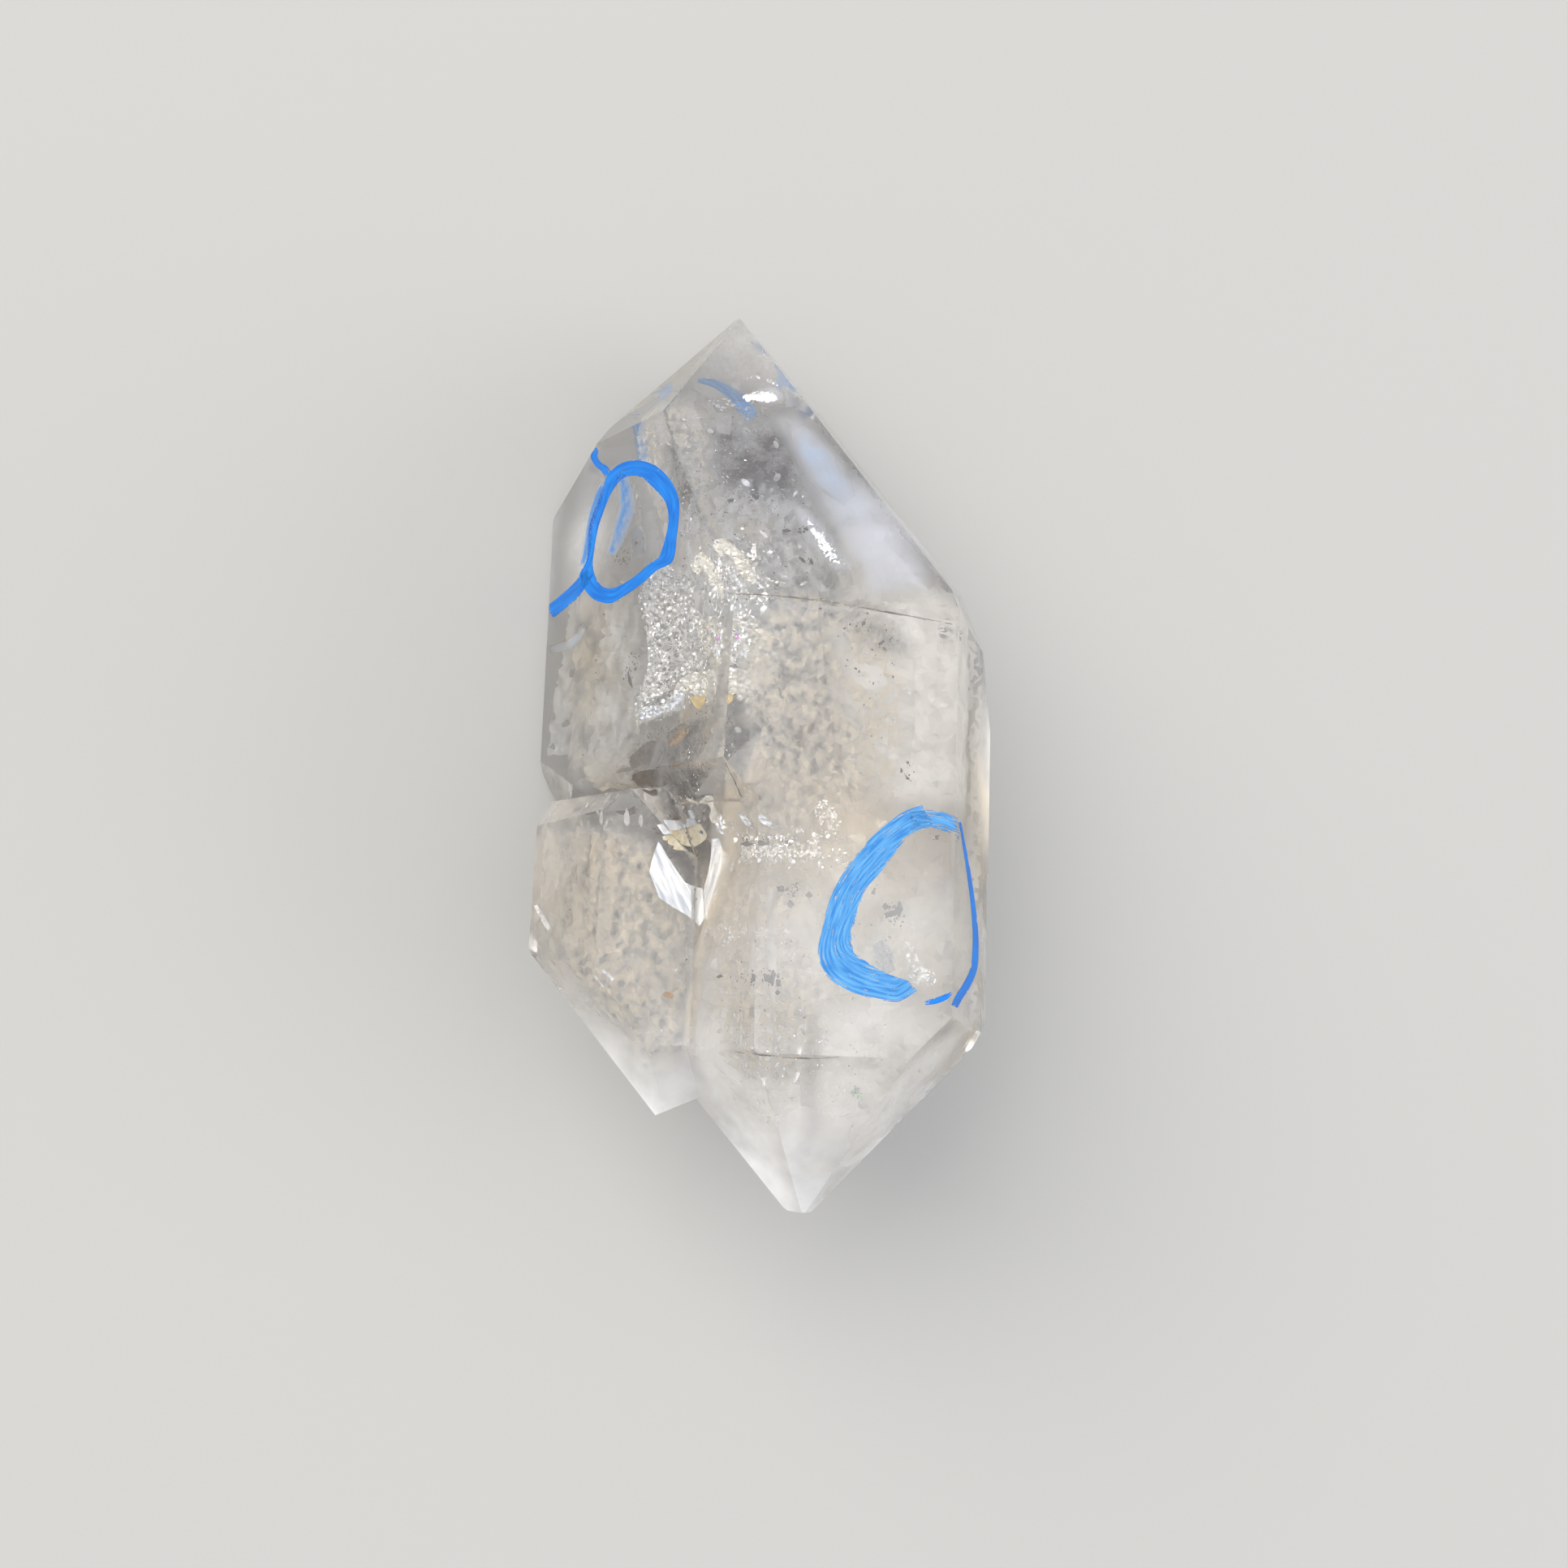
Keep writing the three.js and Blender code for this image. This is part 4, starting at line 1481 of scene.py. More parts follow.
@dataclass
class MilkyVeils(Inclusions):
    """Wide faint veils of tiny bubbles that blur what is behind them."""

    parts: tuple[Film, ...] = (
        Veil(Sheet("haze_left", ((700, 700), (800, 700), (860, 780), (860, 930), (705, 955)), 7.0,
            (0.5, 0.0), 0.4, 1.5, 0.4, 0.4, 2.0, bent=False), Finish.HAZE, thick=0.1),
        Veil(Sheet("haze_upper", ((840, 560), (990, 560), (1060, 700), (1030, 790), (860, 790), (820, 650)),
            10.0, (0.0, -0.3), 0.5, 1.5, 0.4, 0.4, 2.0, bent=False), Finish.FINE_HAZE, thick=0.1),
        Veil(Sheet("haze_middle", ((960, 770), (1195, 775), (1205, 1060), (930, 1060)), 16.0, (0.1, 0.0),
            0.6, 2.0, 0.4, 0.4, 2.5, bent=False), Finish.HAZE, thick=0.1),
        Veil(Sheet("haze_right", ((1020, 735), (1190, 740), (1200, 990), (1050, 990)), 20.0, (0.0, 0.0),
            0.4, 2.0, 0.4, 0.4, 2.5, bent=False), Finish.DENSE_HAZE, thick=0.1),
        Veil(Sheet("haze_low_right", ((1000, 1240), (1180, 1245), (1100, 1370), (1000, 1400)), 17.0,
            (0.0, 0.3), 0.4, 2.0, 0.4, 0.4, 2.0, bent=False), Finish.DENSE_HAZE, thick=0.1),
        Veil(Sheet("haze_low_left", ((868, 1180), (980, 1190), (1000, 1370), (940, 1420), (866, 1350)),
            16.9, (0.0, 0.1), 0.3, 2.0, 0.4, 0.3, 1.2, bent=False), Finish.DENSE_HAZE, thick=0.1),
        Veil(Sheet("haze_notch", ((684, 935), (780, 905), (850, 925), (815, 990), (700, 1000)), 9.4,
            (0.4, 0.0), 0.3, 1.5, 0.3, 0.3, 1.2), Finish.HAZE),
        Veil(Sheet("lavender_veil", ((946, 520), (972, 566), (996, 622), (1020, 664), (1046, 706),
            (1066, 746), (1150, 728), (1120, 660), (1060, 585), (1010, 528), (975, 505)), 16.9, (0.0, -0.8),
            0.15, 1.5, 0.3, 0.25, 1.6, bent=False), Finish.LAVENDER_HAZE),
        Veil(Sheet("feather_upper", ((806, 500), (866, 486), (900, 560), (900, 640), (882, 700), (828, 700),
            (824, 600)), 11.0, (0.2, -0.6), 0.2, 0.8, 0.25, 0.3, 1.4), Finish.WARM_FEATHER),
        Veil(Sheet("feather_heart", ((880, 600), (960, 590), (1020, 690), (1030, 760), (900, 760),
            (880, 690)), 15.0, (0.1, -0.6), 0.3, 0.8, 0.3, 0.3, 1.0), Finish.FEATHER),
        Veil(Sheet("mottle_middle", ((930, 745), (1110, 760), (1090, 900), (1020, 1010), (925, 980)), 18.0,
            (0.05, 0.0), 0.4, 1.2, 0.35, 0.6, 2.0), Finish.GREY_FEATHER),
        Veil(Sheet("feather_middle", ((930, 745), (1110, 760), (1100, 1000), (925, 1010)), 20.0,
            (0.05, 0.0), 0.4, 1.2, 0.35, 0.6, 2.0), Finish.WARM_FEATHER),
        Veil(Sheet("feather_waist", ((890, 960), (1000, 970), (1130, 900), (1190, 960), (1180, 1010),
            (1060, 1060), (1010, 1150), (900, 1180), (880, 1060)), 18.4, (0.05, 0.0), 0.3, 1.2, 0.35, 0.5,
            2.0), Finish.WARM_FEATHER),
        Veil(Sheet("feather_lower", ((880, 1100), (1000, 1090), (1040, 1230), (1120, 1260), (1060, 1390),
            (960, 1420), (880, 1320)), 17.2, (0.0, 0.2), 0.4, 1.2, 0.35, 0.6, 1.5), Finish.WARM_FEATHER),
        Veil(Sheet("mottle_side", ((690, 1020), (850, 1060), (850, 1290), (800, 1330), (690, 1190)), 14.0,
            (0.1, 0.0), 0.3, 1.2, 0.35, 0.5, 1.2), Finish.GREY_FEATHER),
        Veil(Sheet("seam_ribbon", ((896, 940), (912, 972), (919, 1010), (914, 1045), (898, 1090),
            (881, 1150), (868, 1200), (860, 1250), (856, 1300), (864, 1345), (850, 1332), (841, 1290),
            (844, 1240), (852, 1190), (864, 1140), (882, 1085), (890, 1040), (889, 990)), 18.2, (0.6, 0.0),
            0.05, 1.2, 0.15, 0.1, 0.25), Finish.SEAM_MILK),
        Veil(Sheet("edge_ribbon", ((923, 1095), (931, 1095), (932, 1200), (933, 1260), (939, 1304),
            (952, 1336), (944, 1339), (931, 1310), (925, 1262), (924, 1200)), 20.6, (0.0, 0.0), 0.05, 1.2,
            0.12, 0.1, 0.2), Finish.FEATHER),
        Veil(Sheet("feather_side", ((690, 1020), (850, 1070), (850, 1290), (800, 1340), (690, 1200)), 15.2,
            (0.1, 0.0), 0.3, 1.2, 0.35, 0.5, 1.2), Finish.WARM_FEATHER),
        Veil(Sheet("haze_edge", ((1190, 790), (1207, 800), (1215, 890), (1215, 1080), (1204, 1270),
            (1194, 1285), (1190, 1000)), 17.6, (-1.9, 0.0), 0.08, 1.5, 0.25, 0.2, 0.4), Finish.DENSE_HAZE),
        Veil(Sheet("feather_left", ((690, 760), (790, 740), (800, 930), (700, 950)), 9.0, (0.75, 0.0), 0.3,
            1.2, 0.35, 0.5, 1.0), Finish.FEATHER),
        Veil(Sheet("feather_edge", ((670, 756), (710, 740), (706, 935), (668, 935)), 2.9, (2.0, 0.0), 0.08,
            1.2, 0.25, 0.25, 0.5), Finish.FINE_HAZE),
        Veil(Sheet("mottle_apex", ((868, 450), (908, 405), (950, 440), (990, 490), (960, 480), (905, 478)),
            7.0, (0.0, -0.4), 0.1, 1.2, 0.25, 0.4, 0.8), Finish.GREY_FEATHER),
        Veil(Sheet("haze_waist", ((880, 880), (1195, 860), (1205, 1250), (1000, 1300), (880, 1240)), 12.0,
            (0.1, 0.0), 0.6, 2.0, 0.4, 0.4, 2.5, bent=False), Finish.WARM_HAZE, thick=0.1),
        Veil(Sheet("haze_lower", ((880, 1060), (1190, 1060), (1190, 1260), (1100, 1340), (880, 1330)), 16.5,
            (0.1, 0.0), 0.6, 2.0, 0.4, 0.4, 2.5, bent=False), Finish.HAZE, thick=0.1),
        Veil(Sheet("haze_side", ((675, 1010), (860, 1060), (860, 1290), (800, 1340), (670, 1170)), 10.5,
            (0.1, 0.0), 0.5, 1.6, 0.4, 0.4, 2.0, bent=False), Finish.HAZE, thick=0.1),
        Veil(Sheet("haze_tip", ((860, 1290), (1190, 1280), (1060, 1430), (985, 1480), (930, 1430)), 11.0,
            (0.0, 0.1), 0.4, 2.5, 0.4, 0.4, 2.0, bent=False), Finish.HAZE, thick=0.1),
    )


@dataclass
class DarkGrains(Inclusions):
    """Specks and clusters of dark mineral, and the grey dust between them."""

    parts: tuple[Cloud, ...] = (
        Cloud(Sheet("specks_middle", ((800, 700), (1000, 690), (1100, 760), (1090, 900), (1000, 1010),
            (900, 930), (830, 880), (790, 800)), 17.0, (0.45, 0.1), margin=1.6), Finish.GRAIN, 22.0, 0.012,
            0.12, spread=3.0, gap_mm=0.8, gap_level=0.55),
        Cloud(Sheet("specks_upper", ((850, 560), (1000, 560), (1040, 700), (860, 700)), 13.5, (0.0, -0.6),
            margin=1.0), Finish.GRAIN, 20.0, 0.012, 0.1, spread=2.0, gap_mm=0.6, gap_level=0.55),
        Cloud(Sheet("specks_lower", ((900, 1060), (1080, 1060), (1090, 1280), (900, 1280)), 18.5,
            margin=1.0), Finish.GRAIN, 14.0, 0.012, 0.11, spread=2.0, gap_mm=0.8, gap_level=0.58),
        Cloud(Sheet("specks_left", ((690, 640), (790, 600), (790, 930), (700, 950)), 8.5, (0.9, 0.0),
            margin=0.7), Finish.GRAIN, 3.0, 0.02, 0.12, spread=1.2, gap_level=0.46),
        Cloud(Sheet("specks_side", ((690, 1020), (850, 1050), (850, 1290), (790, 1320), (690, 1180)), 14.0,
            margin=0.8), Finish.GRAIN, 2.5, 0.02, 0.12, spread=1.2, gap_level=0.46),
        Cloud(Sheet("dust_upper", ((890, 520), (970, 515), (985, 600), (900, 610)), 11.0, (0.0, -0.6),
            margin=0.7), Finish.DUST, 34.0, 0.02, 0.14, spread=1.6, gap_mm=0.7, gap_level=0.5),
        Cloud(Sheet("dust_middle", ((900, 860), (1060, 850), (1050, 960), (930, 980)), 17.0, (0.1, 0.3),
            margin=1.0), Finish.DUST, 26.0, 0.03, 0.15, spread=1.8, gap_level=0.44),
        Cloud(Sheet("dust_waist", ((800, 900), (890, 890), (905, 940), (850, 960), (780, 950)), 13.0,
            (0.6, 0.0), margin=0.8), Finish.DUST, 26.0, 0.03, 0.15, spread=1.2, gap_level=0.4),
    )
    clusters: Dabs = Dabs("cluster", (
        (765, 685, 12, 12), (785, 665, 8, 7), (1103, 1128, 17, 12), (968, 655, 7, 5), (990, 652, 8, 5),
        (992, 691, 10, 6), (1090, 785, 26, 14), (1120, 950, 12, 8), (965, 1040, 7, 10),
        (920, 1040, 6, 9), (975, 1100, 10, 12), (950, 1205, 14, 9), (875, 1205, 8, 7), (900, 615, 8, 6),
        (930, 612, 8, 6), (778, 822, 7, 22), (1060, 770, 12, 8), (1076, 1100, 4, 4), (1154, 1032, 5, 4),
        (1088, 1184, 10, 14)),
        2.4, 37, (0.3, 0.2), 0.2, 0.15)
    spots: Dabs = Dabs("spot", (
        (969, 654, 5, 2.5), (993, 652, 3, 2), (989, 690, 5, 1.8), (1000, 692, 4, 2), (920, 1040, 3, 7),
        (862, 1027, 4, 5), (784, 669, 2, 2), (1098, 1126, 9, 4), (1108, 1120, 4, 9), (1091, 1117, 4, 4),
        (1076, 1100, 2.5, 2.5), (1154, 1032, 3, 2), (952, 1204, 10, 3), (1064, 768, 4, 2),
        (1086, 792, 5, 2), (776, 838, 2, 9), (900, 617, 4, 2), (930, 612, 5, 2), (945, 1205, 6, 4),
        (959, 1211, 5, 3), (962, 1095, 4, 5), (997, 1103, 4, 4), (974, 1114, 4, 5), (887, 1203, 4, 2),
        (958, 1223, 3, 3)),
        1.6, 23, (0.3, 0.1), 0.05, 0.06)

    def build(self, bench: Bench) -> None:
        """Make every speck cloud, cluster and black spot.

        Args:
            bench: what they are made with.
        """
        super().build(bench)
        for sheet in self.clusters.sheets(bench.sights):
            Cloud(sheet, Finish.GRAIN, 60.0, 0.02, 0.16, 0.3, 1.0, 0.3, 0.35, 0.47).build(bench)
        for sheet in self.spots.sheets(bench.sights):
            Film(sheet, Finish.BLACK_GRAIN, 0.18, 0.1, 0.2).build(bench)


@dataclass
class Stains(Inclusions):
    """Smoky and rusty patches, and a painted shadow in a pit."""

    parts: tuple[Film, ...] = (
        Veil(Sheet("smoke_round_v", ((806, 950), (850, 940), (880, 950), (886, 1000), (880, 1034),
            (866, 1090), (845, 1086), (822, 1040), (812, 1008)), 13.0, (0.2, 0.0), 0.2, 1.2, 0.25,
            fade=0.8), Finish.SMOKY_HAZE),
        Veil(Sheet("smoke_upper", ((862, 530), (890, 516), (935, 514), (975, 520), (994, 570), (980, 625),
            (930, 630), (880, 600)), 11.4, (0.1, -0.6), 0.15, 0.8, 0.2, 0.5, 1.4), Finish.SMOKY_HAZE),
        # Painted shadow: a dark veil where the pit's hollow is in shade.
        Veil(Sheet("smoke_pit", round_rim((1182, 780), 6, 17), 20.8, (0.0, 0.0), 0.02, 0.8, 0.1, 0.1, 0.25),
            Finish.SMOKY_HAZE),
        Veil(Sheet("smoke_cluster", ((1046, 756), (1084, 752), (1124, 776), (1130, 808), (1086, 812),
            (1054, 794)), 20.6, (0.1, 0.0), 0.1, 0.8, 0.15, 0.5, 1.0), Finish.GREY_FEATHER),
        Veil(Sheet("smoke_lens_end", ((1034, 690), (1058, 696), (1074, 730), (1062, 760), (1038, 754),
            (1026, 720)), 18.4, (0.1, -0.3), 0.1, 0.8, 0.15, 0.4, 0.8), Finish.GREY_FEATHER),
        Film(Sheet("smoke_in_v", ((829, 1036), (850, 1046), (872, 1034), (877, 1060), (862, 1095),
            (845, 1086)), 14.5, (0.2, 0.2)), Finish.SMOKE, 0.25, 0.1, 0.4, 0.05),
        Film(Sheet("smoke_window", ((779, 955), (810, 949), (812, 975), (806, 981), (790, 972)), 11.5,
            (0.5, 0.0)), Finish.SMOKE, 0.1, 0.1, 0.7, 0.05),
        Film(Sheet("rust_spot", round_rim((823, 1226), 7, 4, 20), 17.0, cell=0.1), Finish.RUST, 0.3, 0.1,
            0.3),
    )


@dataclass(frozen=True)
class Lozenge:
    """A flat-faced cavity or bubble, as it is seen in the frame."""

    name: str
    middle: FramePoint
    half_long: float
    half_wide: float
    half_thick: float
    turn: float
    height: float
    finish: Finish
    rounded: bool = False
    cap: float = 0.55
    worn: float = 0.14

    def build(self, bench: Bench) -> None:
        """Make the cavity: a six-sided lens with sloping ends, or a round bubble.

        Args:
            bench: what it is made with.
        """
        centre = bench.sights.at_height(self.middle, self.height)
        inward = -bench.sights.near_side(self.middle)[1]
        across = Vector((1, 0, 0))
        across = (across - inward * across.dot(inward)).normalized()
        frame = Matrix((across, inward.cross(across), inward)).transposed()
        work = bmesh.new()
        if self.rounded:
            bmesh.ops.create_icosphere(work, subdivisions=3, radius=1.0)
        else:
            bmesh.ops.create_cone(work, cap_ends=True, segments=6, radius1=1.0, radius2=self.cap,
                                  depth=2.0)
            bmesh.ops.bevel(work, geom=list(work.edges), offset=self.worn, segments=2,
                            affect="EDGES", profile=0.6)
        size = Vector((self.half_long, self.half_wide, self.half_thick))
        spin = Matrix.Rotation(math.radians(self.turn), 3, "Z")
        for vertex in work.verts:
            shaped = spin @ Vector(a * b for a, b in zip(vertex.co, size))
            vertex.co = (centre + frame @ shaped) * MM
        bmesh.ops.recalc_face_normals(work, faces=work.faces)
        mesh = bpy.data.meshes.new(self.name)
        work.to_mesh(mesh)
        work.free()
        mesh.materials.append(self.finish.get())
        for face in mesh.polygons:
            face.use_smooth = self.rounded
        settle(link_new(self.name, mesh))


@dataclass
class FluidPockets(Inclusions):
    """The two pockets of old brine that the rings point out, each with its bubble."""

    parts: tuple[Lozenge, ...] = (
        Lozenge("fluid_pocket_upper", (789, 667), 1.5, 0.8, 0.45, 58, 10.6, Finish.FLUID),
        Lozenge("bubble_upper", (784, 669), 0.2, 0.2, 0.18, 0, 10.7, Finish.GAS, True),
        Lozenge("fluid_pocket_lower", (1088, 1180), 1.1, 0.6, 0.35, 65, 20.6, Finish.FLUID),
        Lozenge("bubble_lower", (1092, 1172), 0.18, 0.18, 0.16, 0, 20.7, Finish.GAS, True),
    )


class Side(Enum):
    """Which side of the stone a stroke is on."""

    NEAR = "near"
    FAR = "far"


# How a stroke's grid is laid: the points of its first trace, the fewest rows and columns, and a
# row's length and the longest reach of a face in cells. Ink on the far side is set into the stone
# by a share of its thickness.
TRACE_POINTS = 200
FEWEST_LINES = 4
ROW_LENGTH = 1.6
LONGEST_REACH = 8
FAR_SINK = 0.55


@dataclass(frozen=True)
class Stroke:
    """One pull of the marker pen between two edge lines, as seen in the frame.

    The pen runs dry over start_dry and end_dry millimetres at its ends. A low edge thins the ink
    a long way in from the stroke's sides.
    """

    name: str
    outer: tuple[FramePoint, ...]
    inner: tuple[FramePoint, ...]
    closed: bool = False
    loss: float = 0.33
    rim_loss: float = 0.16
    start_dry: float = 0.5
    end_dry: float = 0.5
    side: Side = Side.NEAR
    finish: Finish = Finish.INK
    edge: float = 5.0

    def build(self, bench: Bench, streak: tuple[float, float], cell: float, thick: float) -> None:
        """Lay the stroke on the stone.

        Args:
            bench: what it is made with.
            streak: a streak's length and width in millimetres.
            cell: the grid's spacing in millimetres.
            thick: the ink's thickness in millimetres.
        """
        sights = bench.sights
        scale = sights.view.points_per_mm
        middle_line = (smooth_line(self.outer, TRACE_POINTS, self.closed)
                       + smooth_line(self.inner, TRACE_POINTS, self.closed)) / 2
        length = np.linalg.norm(np.diff(middle_line, axis=0), axis=1).sum() / scale
        rows = max(FEWEST_LINES, int(length / (cell * ROW_LENGTH)))
        outer = smooth_line(self.outer, rows, self.closed)
        inner = smooth_line(self.inner, rows, self.closed)
        widths = np.linalg.norm(outer - inner, axis=1) / scale
        columns = max(FEWEST_LINES, int(widths.max() / cell) + 1)
        find = sights.near_side if self.side is Side.NEAR else sights.far_side
        sink = 0.0 if self.side is Side.NEAR else thick * FAR_SINK
        corners, flat, rim, hit = [], [], [], []
        for row in range(rows):
            along = length * row / (rows - 1)
            start = 0 if self.closed else max(0.0, 1 - along / self.start_dry)
            end = 0 if self.closed else max(0.0, 1 - (length - along) / self.end_dry)
            for column in range(columns):
                share = column / (columns - 1)
                found = find(outer[row] * (1 - share) + inner[row] * share)
                hit.append(found is not None)
                corners.append(found[0] - found[1] * sink if found else Vector())
                flat.append((along, share * widths[row]))
                rim.append(max(abs(2 * share - 1) ** self.edge, start, end))
        faces = []
        for row in range(rows - 1):
            for column in range(columns - 1):
                a = row * columns + column
                ring = (a, a + columns, a + columns + 1, a + 1)
                reach = max((corners[ring[0]] - corners[ring[2]]).length,
                            (corners[ring[1]] - corners[ring[3]]).length)
                if all(hit[i] for i in ring) and reach < cell * LONGEST_REACH:
                    faces.append(ring)
        piece = new_piece(self.name, corners, faces)
        map_stroke(piece, flat, rim)
        bench.worn.run(piece, {
            "Length": streak[0] * MM, "Width": streak[1] * MM, "Loss": self.loss,
            "Rim loss": self.rim_loss, "Seed": len(self.name), "Material": self.finish.get()})
        coat = piece.modifiers.new("thickness", "SOLIDIFY")
        coat.thickness = thick * MM
        coat.offset = 0.0
        settle(piece)


def pen_line(name: str, path: tuple[PenPoint, ...], **choices: object) -> Stroke:
    """Make a stroke from its middle line.

    Args:
        name: the stroke's name.
        path: across, down and width of each point, in frame points.
        choices: the stroke's other fields.
    Returns:
        The stroke.
    """
    middle = np.array(path, dtype=float)
    heading = np.gradient(middle[:, :2], axis=0)
    heading /= np.linalg.norm(heading, axis=1)[:, None]
    aside = np.column_stack([-heading[:, 1], heading[:, 0]]) * middle[:, 2:] / 2
    outer = tuple(map(tuple, middle[:, :2] + aside))
    inner = tuple(map(tuple, middle[:, :2] - aside))
    return Stroke(name, outer, inner, **choices)


@dataclass
class GrowthLines:
    """The fine shadow lines of growth steps on the near faces."""

    thick: float = 0.012
    cell: float = 0.04
    gap_long: float = 1.2
    gap_wide: float = 0.06
    lines: tuple[Stroke, ...] = (
        pen_line("growth_line_upper", ((893, 731, 1.5), (935, 733, 2), (976, 736, 2), (1030, 743, 1.5),
            (1080, 752, 2), (1130, 761, 2), (1176, 770, 1.5)), loss=0.42, finish=Finish.GROWTH_STEP),
        pen_line("growth_line_waist", ((893, 940, 2), (905, 962, 1.5), (914, 985, 2)), loss=0.42,
            finish=Finish.GROWTH_STEP),
        pen_line("growth_line_tip", ((905, 1296, 1.5), (960, 1302, 2), (1010, 1304, 1.5),
            (1052, 1300, 1.5)), loss=0.46, finish=Finish.GROWTH_STEP),
    )

    def build(self, bench: Bench) -> None:
        """Lay every line."""
        for line in self.lines:
            line.build(bench, (self.gap_long, self.gap_wide), self.cell, self.thick)


@dataclass
class InkMarks:
    """Two rings and some loose strokes of blue paint marker."""

    streak_long: float = 1.6
    streak_wide: float = 0.09
    cell: float = 0.05
    thick: float = 0.03
    strokes: tuple[Stroke, ...] = (
        Stroke("ink_ring_upper", ((783, 567), (806, 573), (824, 589), (835, 610), (837, 630), (834, 660),
            (829, 691), (809, 703), (791, 719), (774, 731), (754, 743), (733, 739), (719, 724), (714, 709),
            (723, 689), (727, 646), (736, 620), (747, 589), (762, 573)), ((780, 586), (793, 590),
            (811, 607), (821, 621), (824, 640), (820, 663), (812, 686), (800, 695), (785, 708), (769, 719),
            (754, 725), (743, 723), (736, 715), (731, 702), (731, 686), (736, 655), (743, 632), (754, 606),
            (766, 591)), True, 0.3, 0.12),
        pen_line("ink_tail_left", ((726, 705, 12), (716, 720, 15), (706, 731, 16), (692, 743, 16),
            (677, 755, 16)), loss=0.32),
        pen_line("ink_tail_top", ((750, 585, 10), (744, 577, 9), (738, 573, 8), (732, 563, 8),
            (735, 552, 7)), loss=0.34),
        Stroke("ink_ring_lower", ((1136, 992), (1114, 1000), (1094, 1014), (1068, 1038), (1040, 1074),
            (1022, 1110), (1012, 1150), (1008, 1172), (1012, 1192), (1030, 1212), (1060, 1226),
            (1098, 1234), (1112, 1232), (1130, 1221)), ((1150, 1017), (1130, 1023), (1114, 1036),
            (1098, 1057), (1082, 1078), (1068, 1094), (1058, 1116), (1053, 1136), (1049, 1160),
            (1055, 1174), (1072, 1188), (1094, 1200), (1112, 1206), (1120, 1209)), False, 0.36, 0.12, 0.4,
            0.5, Side.NEAR, Finish.BRUSHED_INK),
        Stroke("ink_ring_lower_end", ((1120, 998), (1140, 998), (1160, 1000), (1180, 1008)), ((1122, 1028),
            (1142, 1021), (1164, 1024), (1183, 1034)), False, 0.44, 0.1, 0.6, 0.6, Side.NEAR,
            Finish.BRUSHED_INK),
        pen_line("ink_ring_lower_side", ((1183, 1013, 3), (1186, 1032, 3), (1191, 1060, 4), (1197, 1100, 5),
            (1201, 1136, 6), (1202, 1164, 7), (1200, 1192, 8), (1192, 1212, 9), (1182, 1228, 9),
            (1176, 1240, 8)), loss=0.3),
        pen_line("ink_ring_lower_dash", ((1140, 1236, 6), (1152, 1234, 8), (1163, 1230, 8),
            (1173, 1224, 6)), loss=0.36),
        # Its blue is painted lighter to stand in for the light it gets through the stone.
        pen_line("ink_far_stroke", ((860, 468, 6), (881, 473, 10), (905, 487, 16), (917, 501, 20),
            (928, 516, 18)), loss=0.36, side=Side.FAR, finish=Finish.FAR_INK),
        pen_line("ink_smear_ring", ((767, 584, 14), (771, 606, 20), (772, 629, 22), (765, 651, 20),
            (759, 668, 16), (752, 686, 10)), loss=0.0, rim_loss=0.0, finish=Finish.WASHED_INK, edge=1.6),
        pen_line("ink_smear_left", ((678, 801, 8), (692, 797, 10), (707, 791, 11), (721, 771, 9)), loss=0.0,
            rim_loss=0.0, finish=Finish.PALE_WASH, edge=1.6),
        pen_line("ink_smear_right", ((982, 528, 16), (1000, 556, 44), (1024, 588, 44), (1046, 618, 20)),
            loss=0.0, rim_loss=0.0, start_dry=1.5, end_dry=1.5, finish=Finish.PALE_WASH, edge=1.2),
        pen_line("ink_smear_top", ((796, 496, 9), (788, 505, 10), (780, 514, 8)), loss=0.0, rim_loss=0.0,
            finish=Finish.WASHED_INK, edge=1.6),
        pen_line("ink_smear_fringe", ((745, 594, 8), (736, 614, 10), (727, 646, 10), (722, 680, 9),
            (716, 700, 6)), loss=0.0, rim_loss=0.0, finish=Finish.WASHED_INK, edge=1.8),
    )

    def build(self, bench: Bench) -> None:
        """Lay every stroke."""
        for stroke in self.strokes:
            stroke.build(bench, (self.streak_long, self.streak_wide), self.cell, self.thick)


@dataclass(frozen=True)
class Softbox:
    """A square light that faces the stone, its place and side in metres and its power in watts."""

    name: str
    place: tuple[float, float, float]
    side: float
    power: float
    colour: str

    def build(self) -> None:
        """Hang the light."""
        data = bpy.data.lights.new(self.name, "AREA")
        data.shape = "SQUARE"
        data.size = self.side
        data.energy = self.power
        data.color = linear(self.colour)[:3]
        light = link_new(self.name, data)
        light.location = self.place
        light.rotation_euler = (-Vector(self.place)).to_track_quat("-Z", "Y").to_euler()


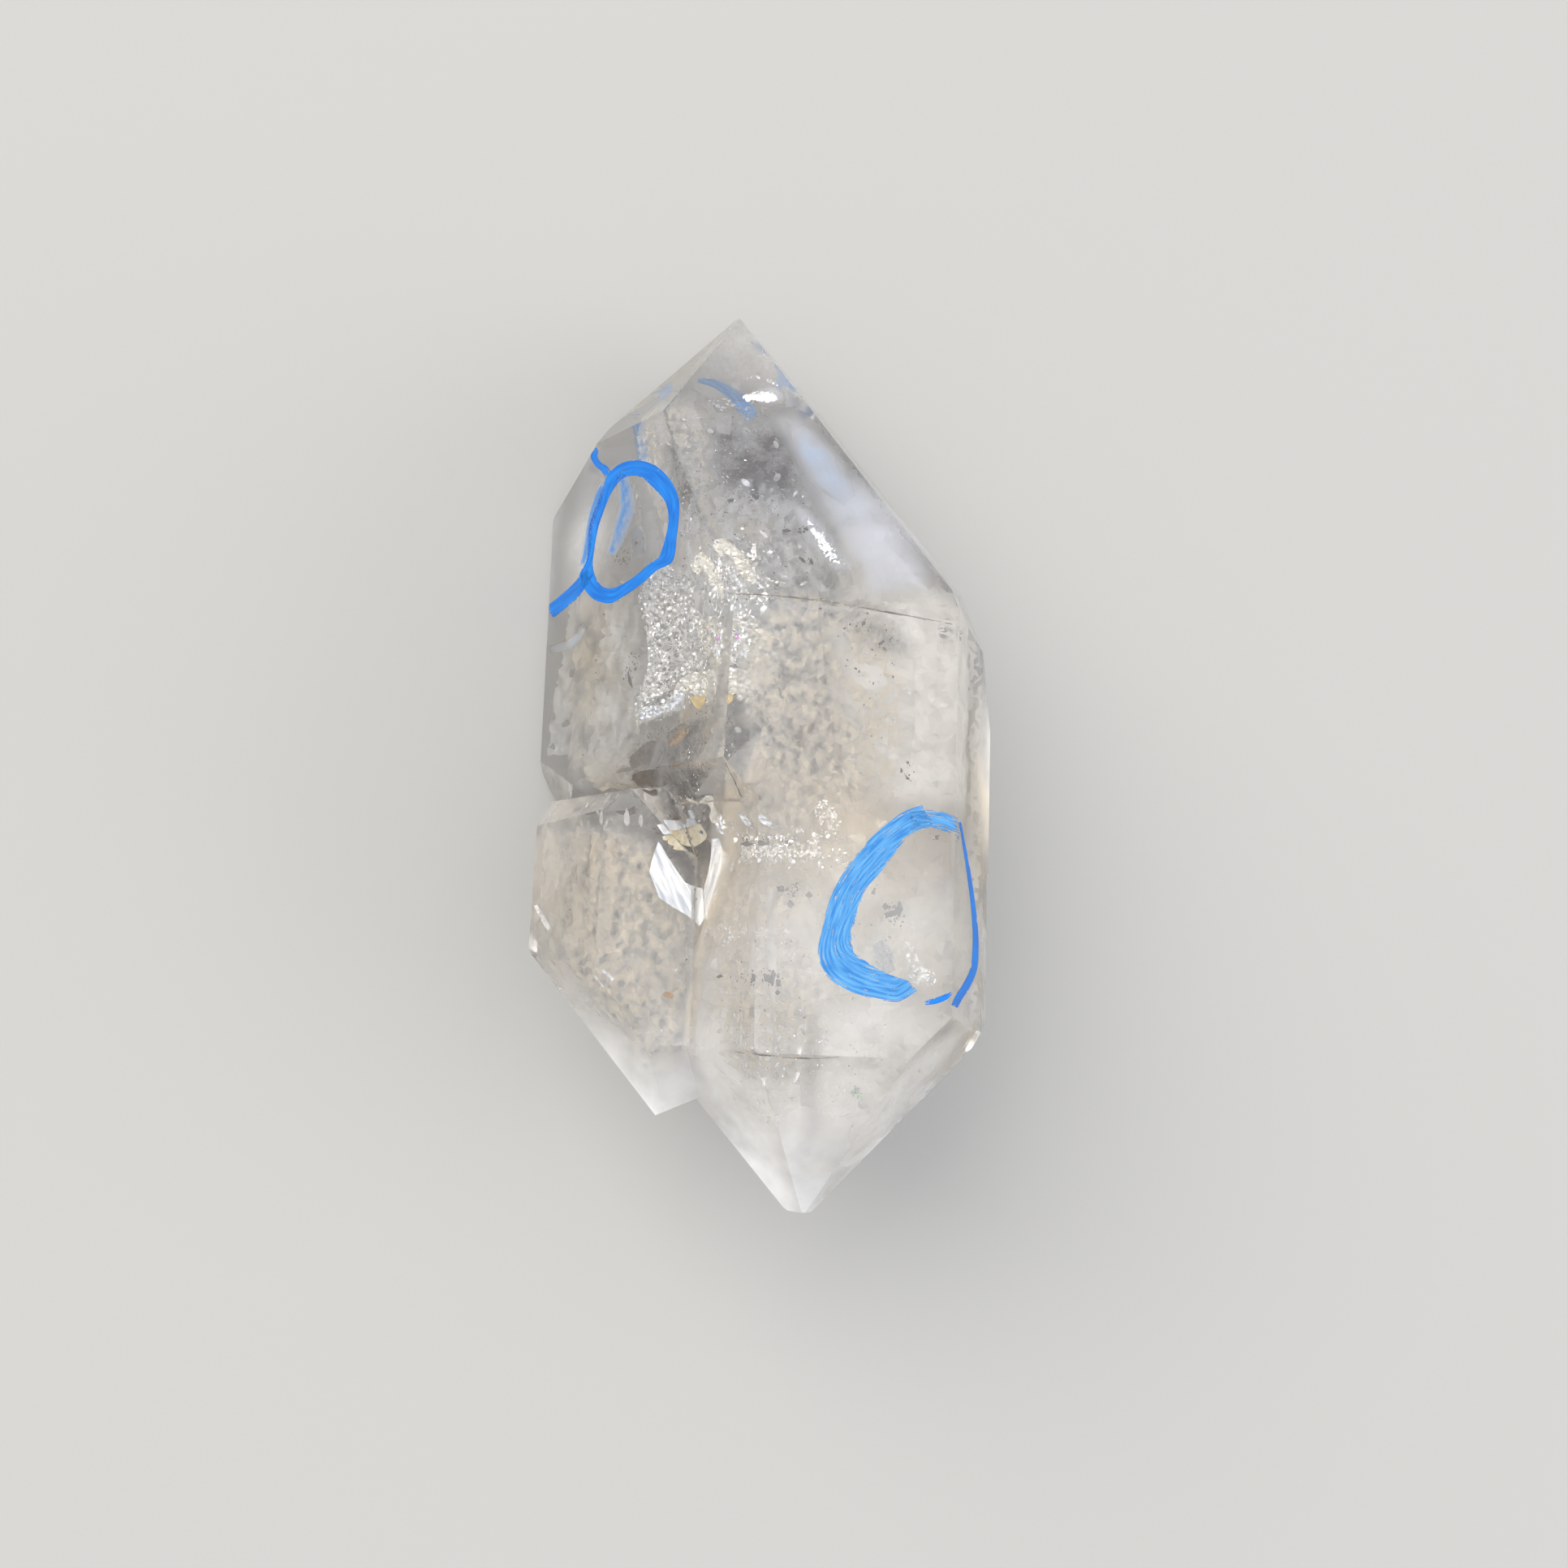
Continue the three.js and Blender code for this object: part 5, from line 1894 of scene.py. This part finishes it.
@dataclass
class Studio:
    """The pale floor and the soft lights."""

    paper: StudioPaper = field(default_factory=StudioPaper)
    floor_side: float = 6.0
    floor_gap: float = 0.03
    lights: tuple[Softbox, ...] = (
        Softbox("softbox_left", (-0.9, 0.7, 1.2), 1.5, 22.0, "#FFFAF2"),
        Softbox("softbox_right", (1.3, -0.2, 0.6), 1.0, 7.0, "#F4F8FF"),
    )
    zenith: str = "#F2F4F8"
    horizon: str = "#B4B5B8"
    sky_strength: float = 1.45
    horizon_up: float = 0.1
    zenith_from: float = 0.95

    def build_floor(self) -> None:
        """Make the floor just under the stone, so that light passes between them."""
        half = self.floor_side / 2
        down = -self.floor_gap * MM
        mesh = bpy.data.meshes.new("floor")
        mesh.from_pydata([(-half, -half, down), (half, -half, down), (half, half, down),
                          (-half, half, down)], [], [(0, 1, 2, 3)])
        mesh.materials.append(self.paper.material())
        floor = link_new("floor", mesh)

    def build_room(self) -> None:
        """Make the room's own light: pale overhead and greyer towards the horizon."""
        world = bpy.data.worlds.new("room")
        bpy.context.scene.world = world
        world.use_nodes = True
        tree = world.node_tree
        tree.nodes.clear()
        out = add_node(tree, "ShaderNodeOutputWorld")
        heading = add_node(tree, "ShaderNodeTexCoord").outputs["Generated"]
        parts = add_node(tree, "ShaderNodeSeparateXYZ", {"Vector": heading})
        height = add_node(tree, "ShaderNodeMapRange", {
            "Value": parts.outputs["Z"], "From Min": self.horizon_up,
            "From Max": self.zenith_from}, interpolation_type="SMOOTHSTEP")
        colour = add_node(tree, "ShaderNodeMix", {
            "Factor": height.outputs["Result"], MIX_FROM: linear(self.horizon),
            MIX_TO: linear(self.zenith)}, data_type="RGBA")
        room = add_node(tree, "ShaderNodeBackground", {
            "Color": colour.outputs[MIXED], "Strength": self.sky_strength})
        tree.links.new(room.outputs["Background"], out.inputs["Surface"])

    def build(self) -> None:
        """Make the floor, the softboxes and the room's own light."""
        self.build_floor()
        for light in self.lights:
            light.build()
        self.build_room()


def main() -> None:
    """Build the stone, what is in it and on it, and the studio, and report each piece."""
    logging.basicConfig(level=logging.INFO, format="%(name)s: %(message)s")
    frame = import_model()
    view = Viewpoint()
    view.build_camera()
    body = CrystalBody()
    stone = body.build(frame["nodes"][NODE])
    body.dress(stone)
    bench = Bench(Sightlines(stone, view), WornTree(), ScatterTree())
    for assembly in (HealedCracks(), DarkGrains(), MilkyVeils(), Stains(), FluidPockets(),
                     GrowthLines(), InkMarks()):
        assembly.build(bench)
    Studio().build()
    scene = bpy.context.scene
    scene.view_settings.view_transform = "Standard"
    scene.cycles.max_bounces = 24
    scene.cycles.transmission_bounces = 24
    scene.cycles.diffuse_bounces = 4
    scene.cycles.glossy_bounces = 8
    scene.cycles.blur_glossy = 0.6


if __name__ == "__main__":
    main()
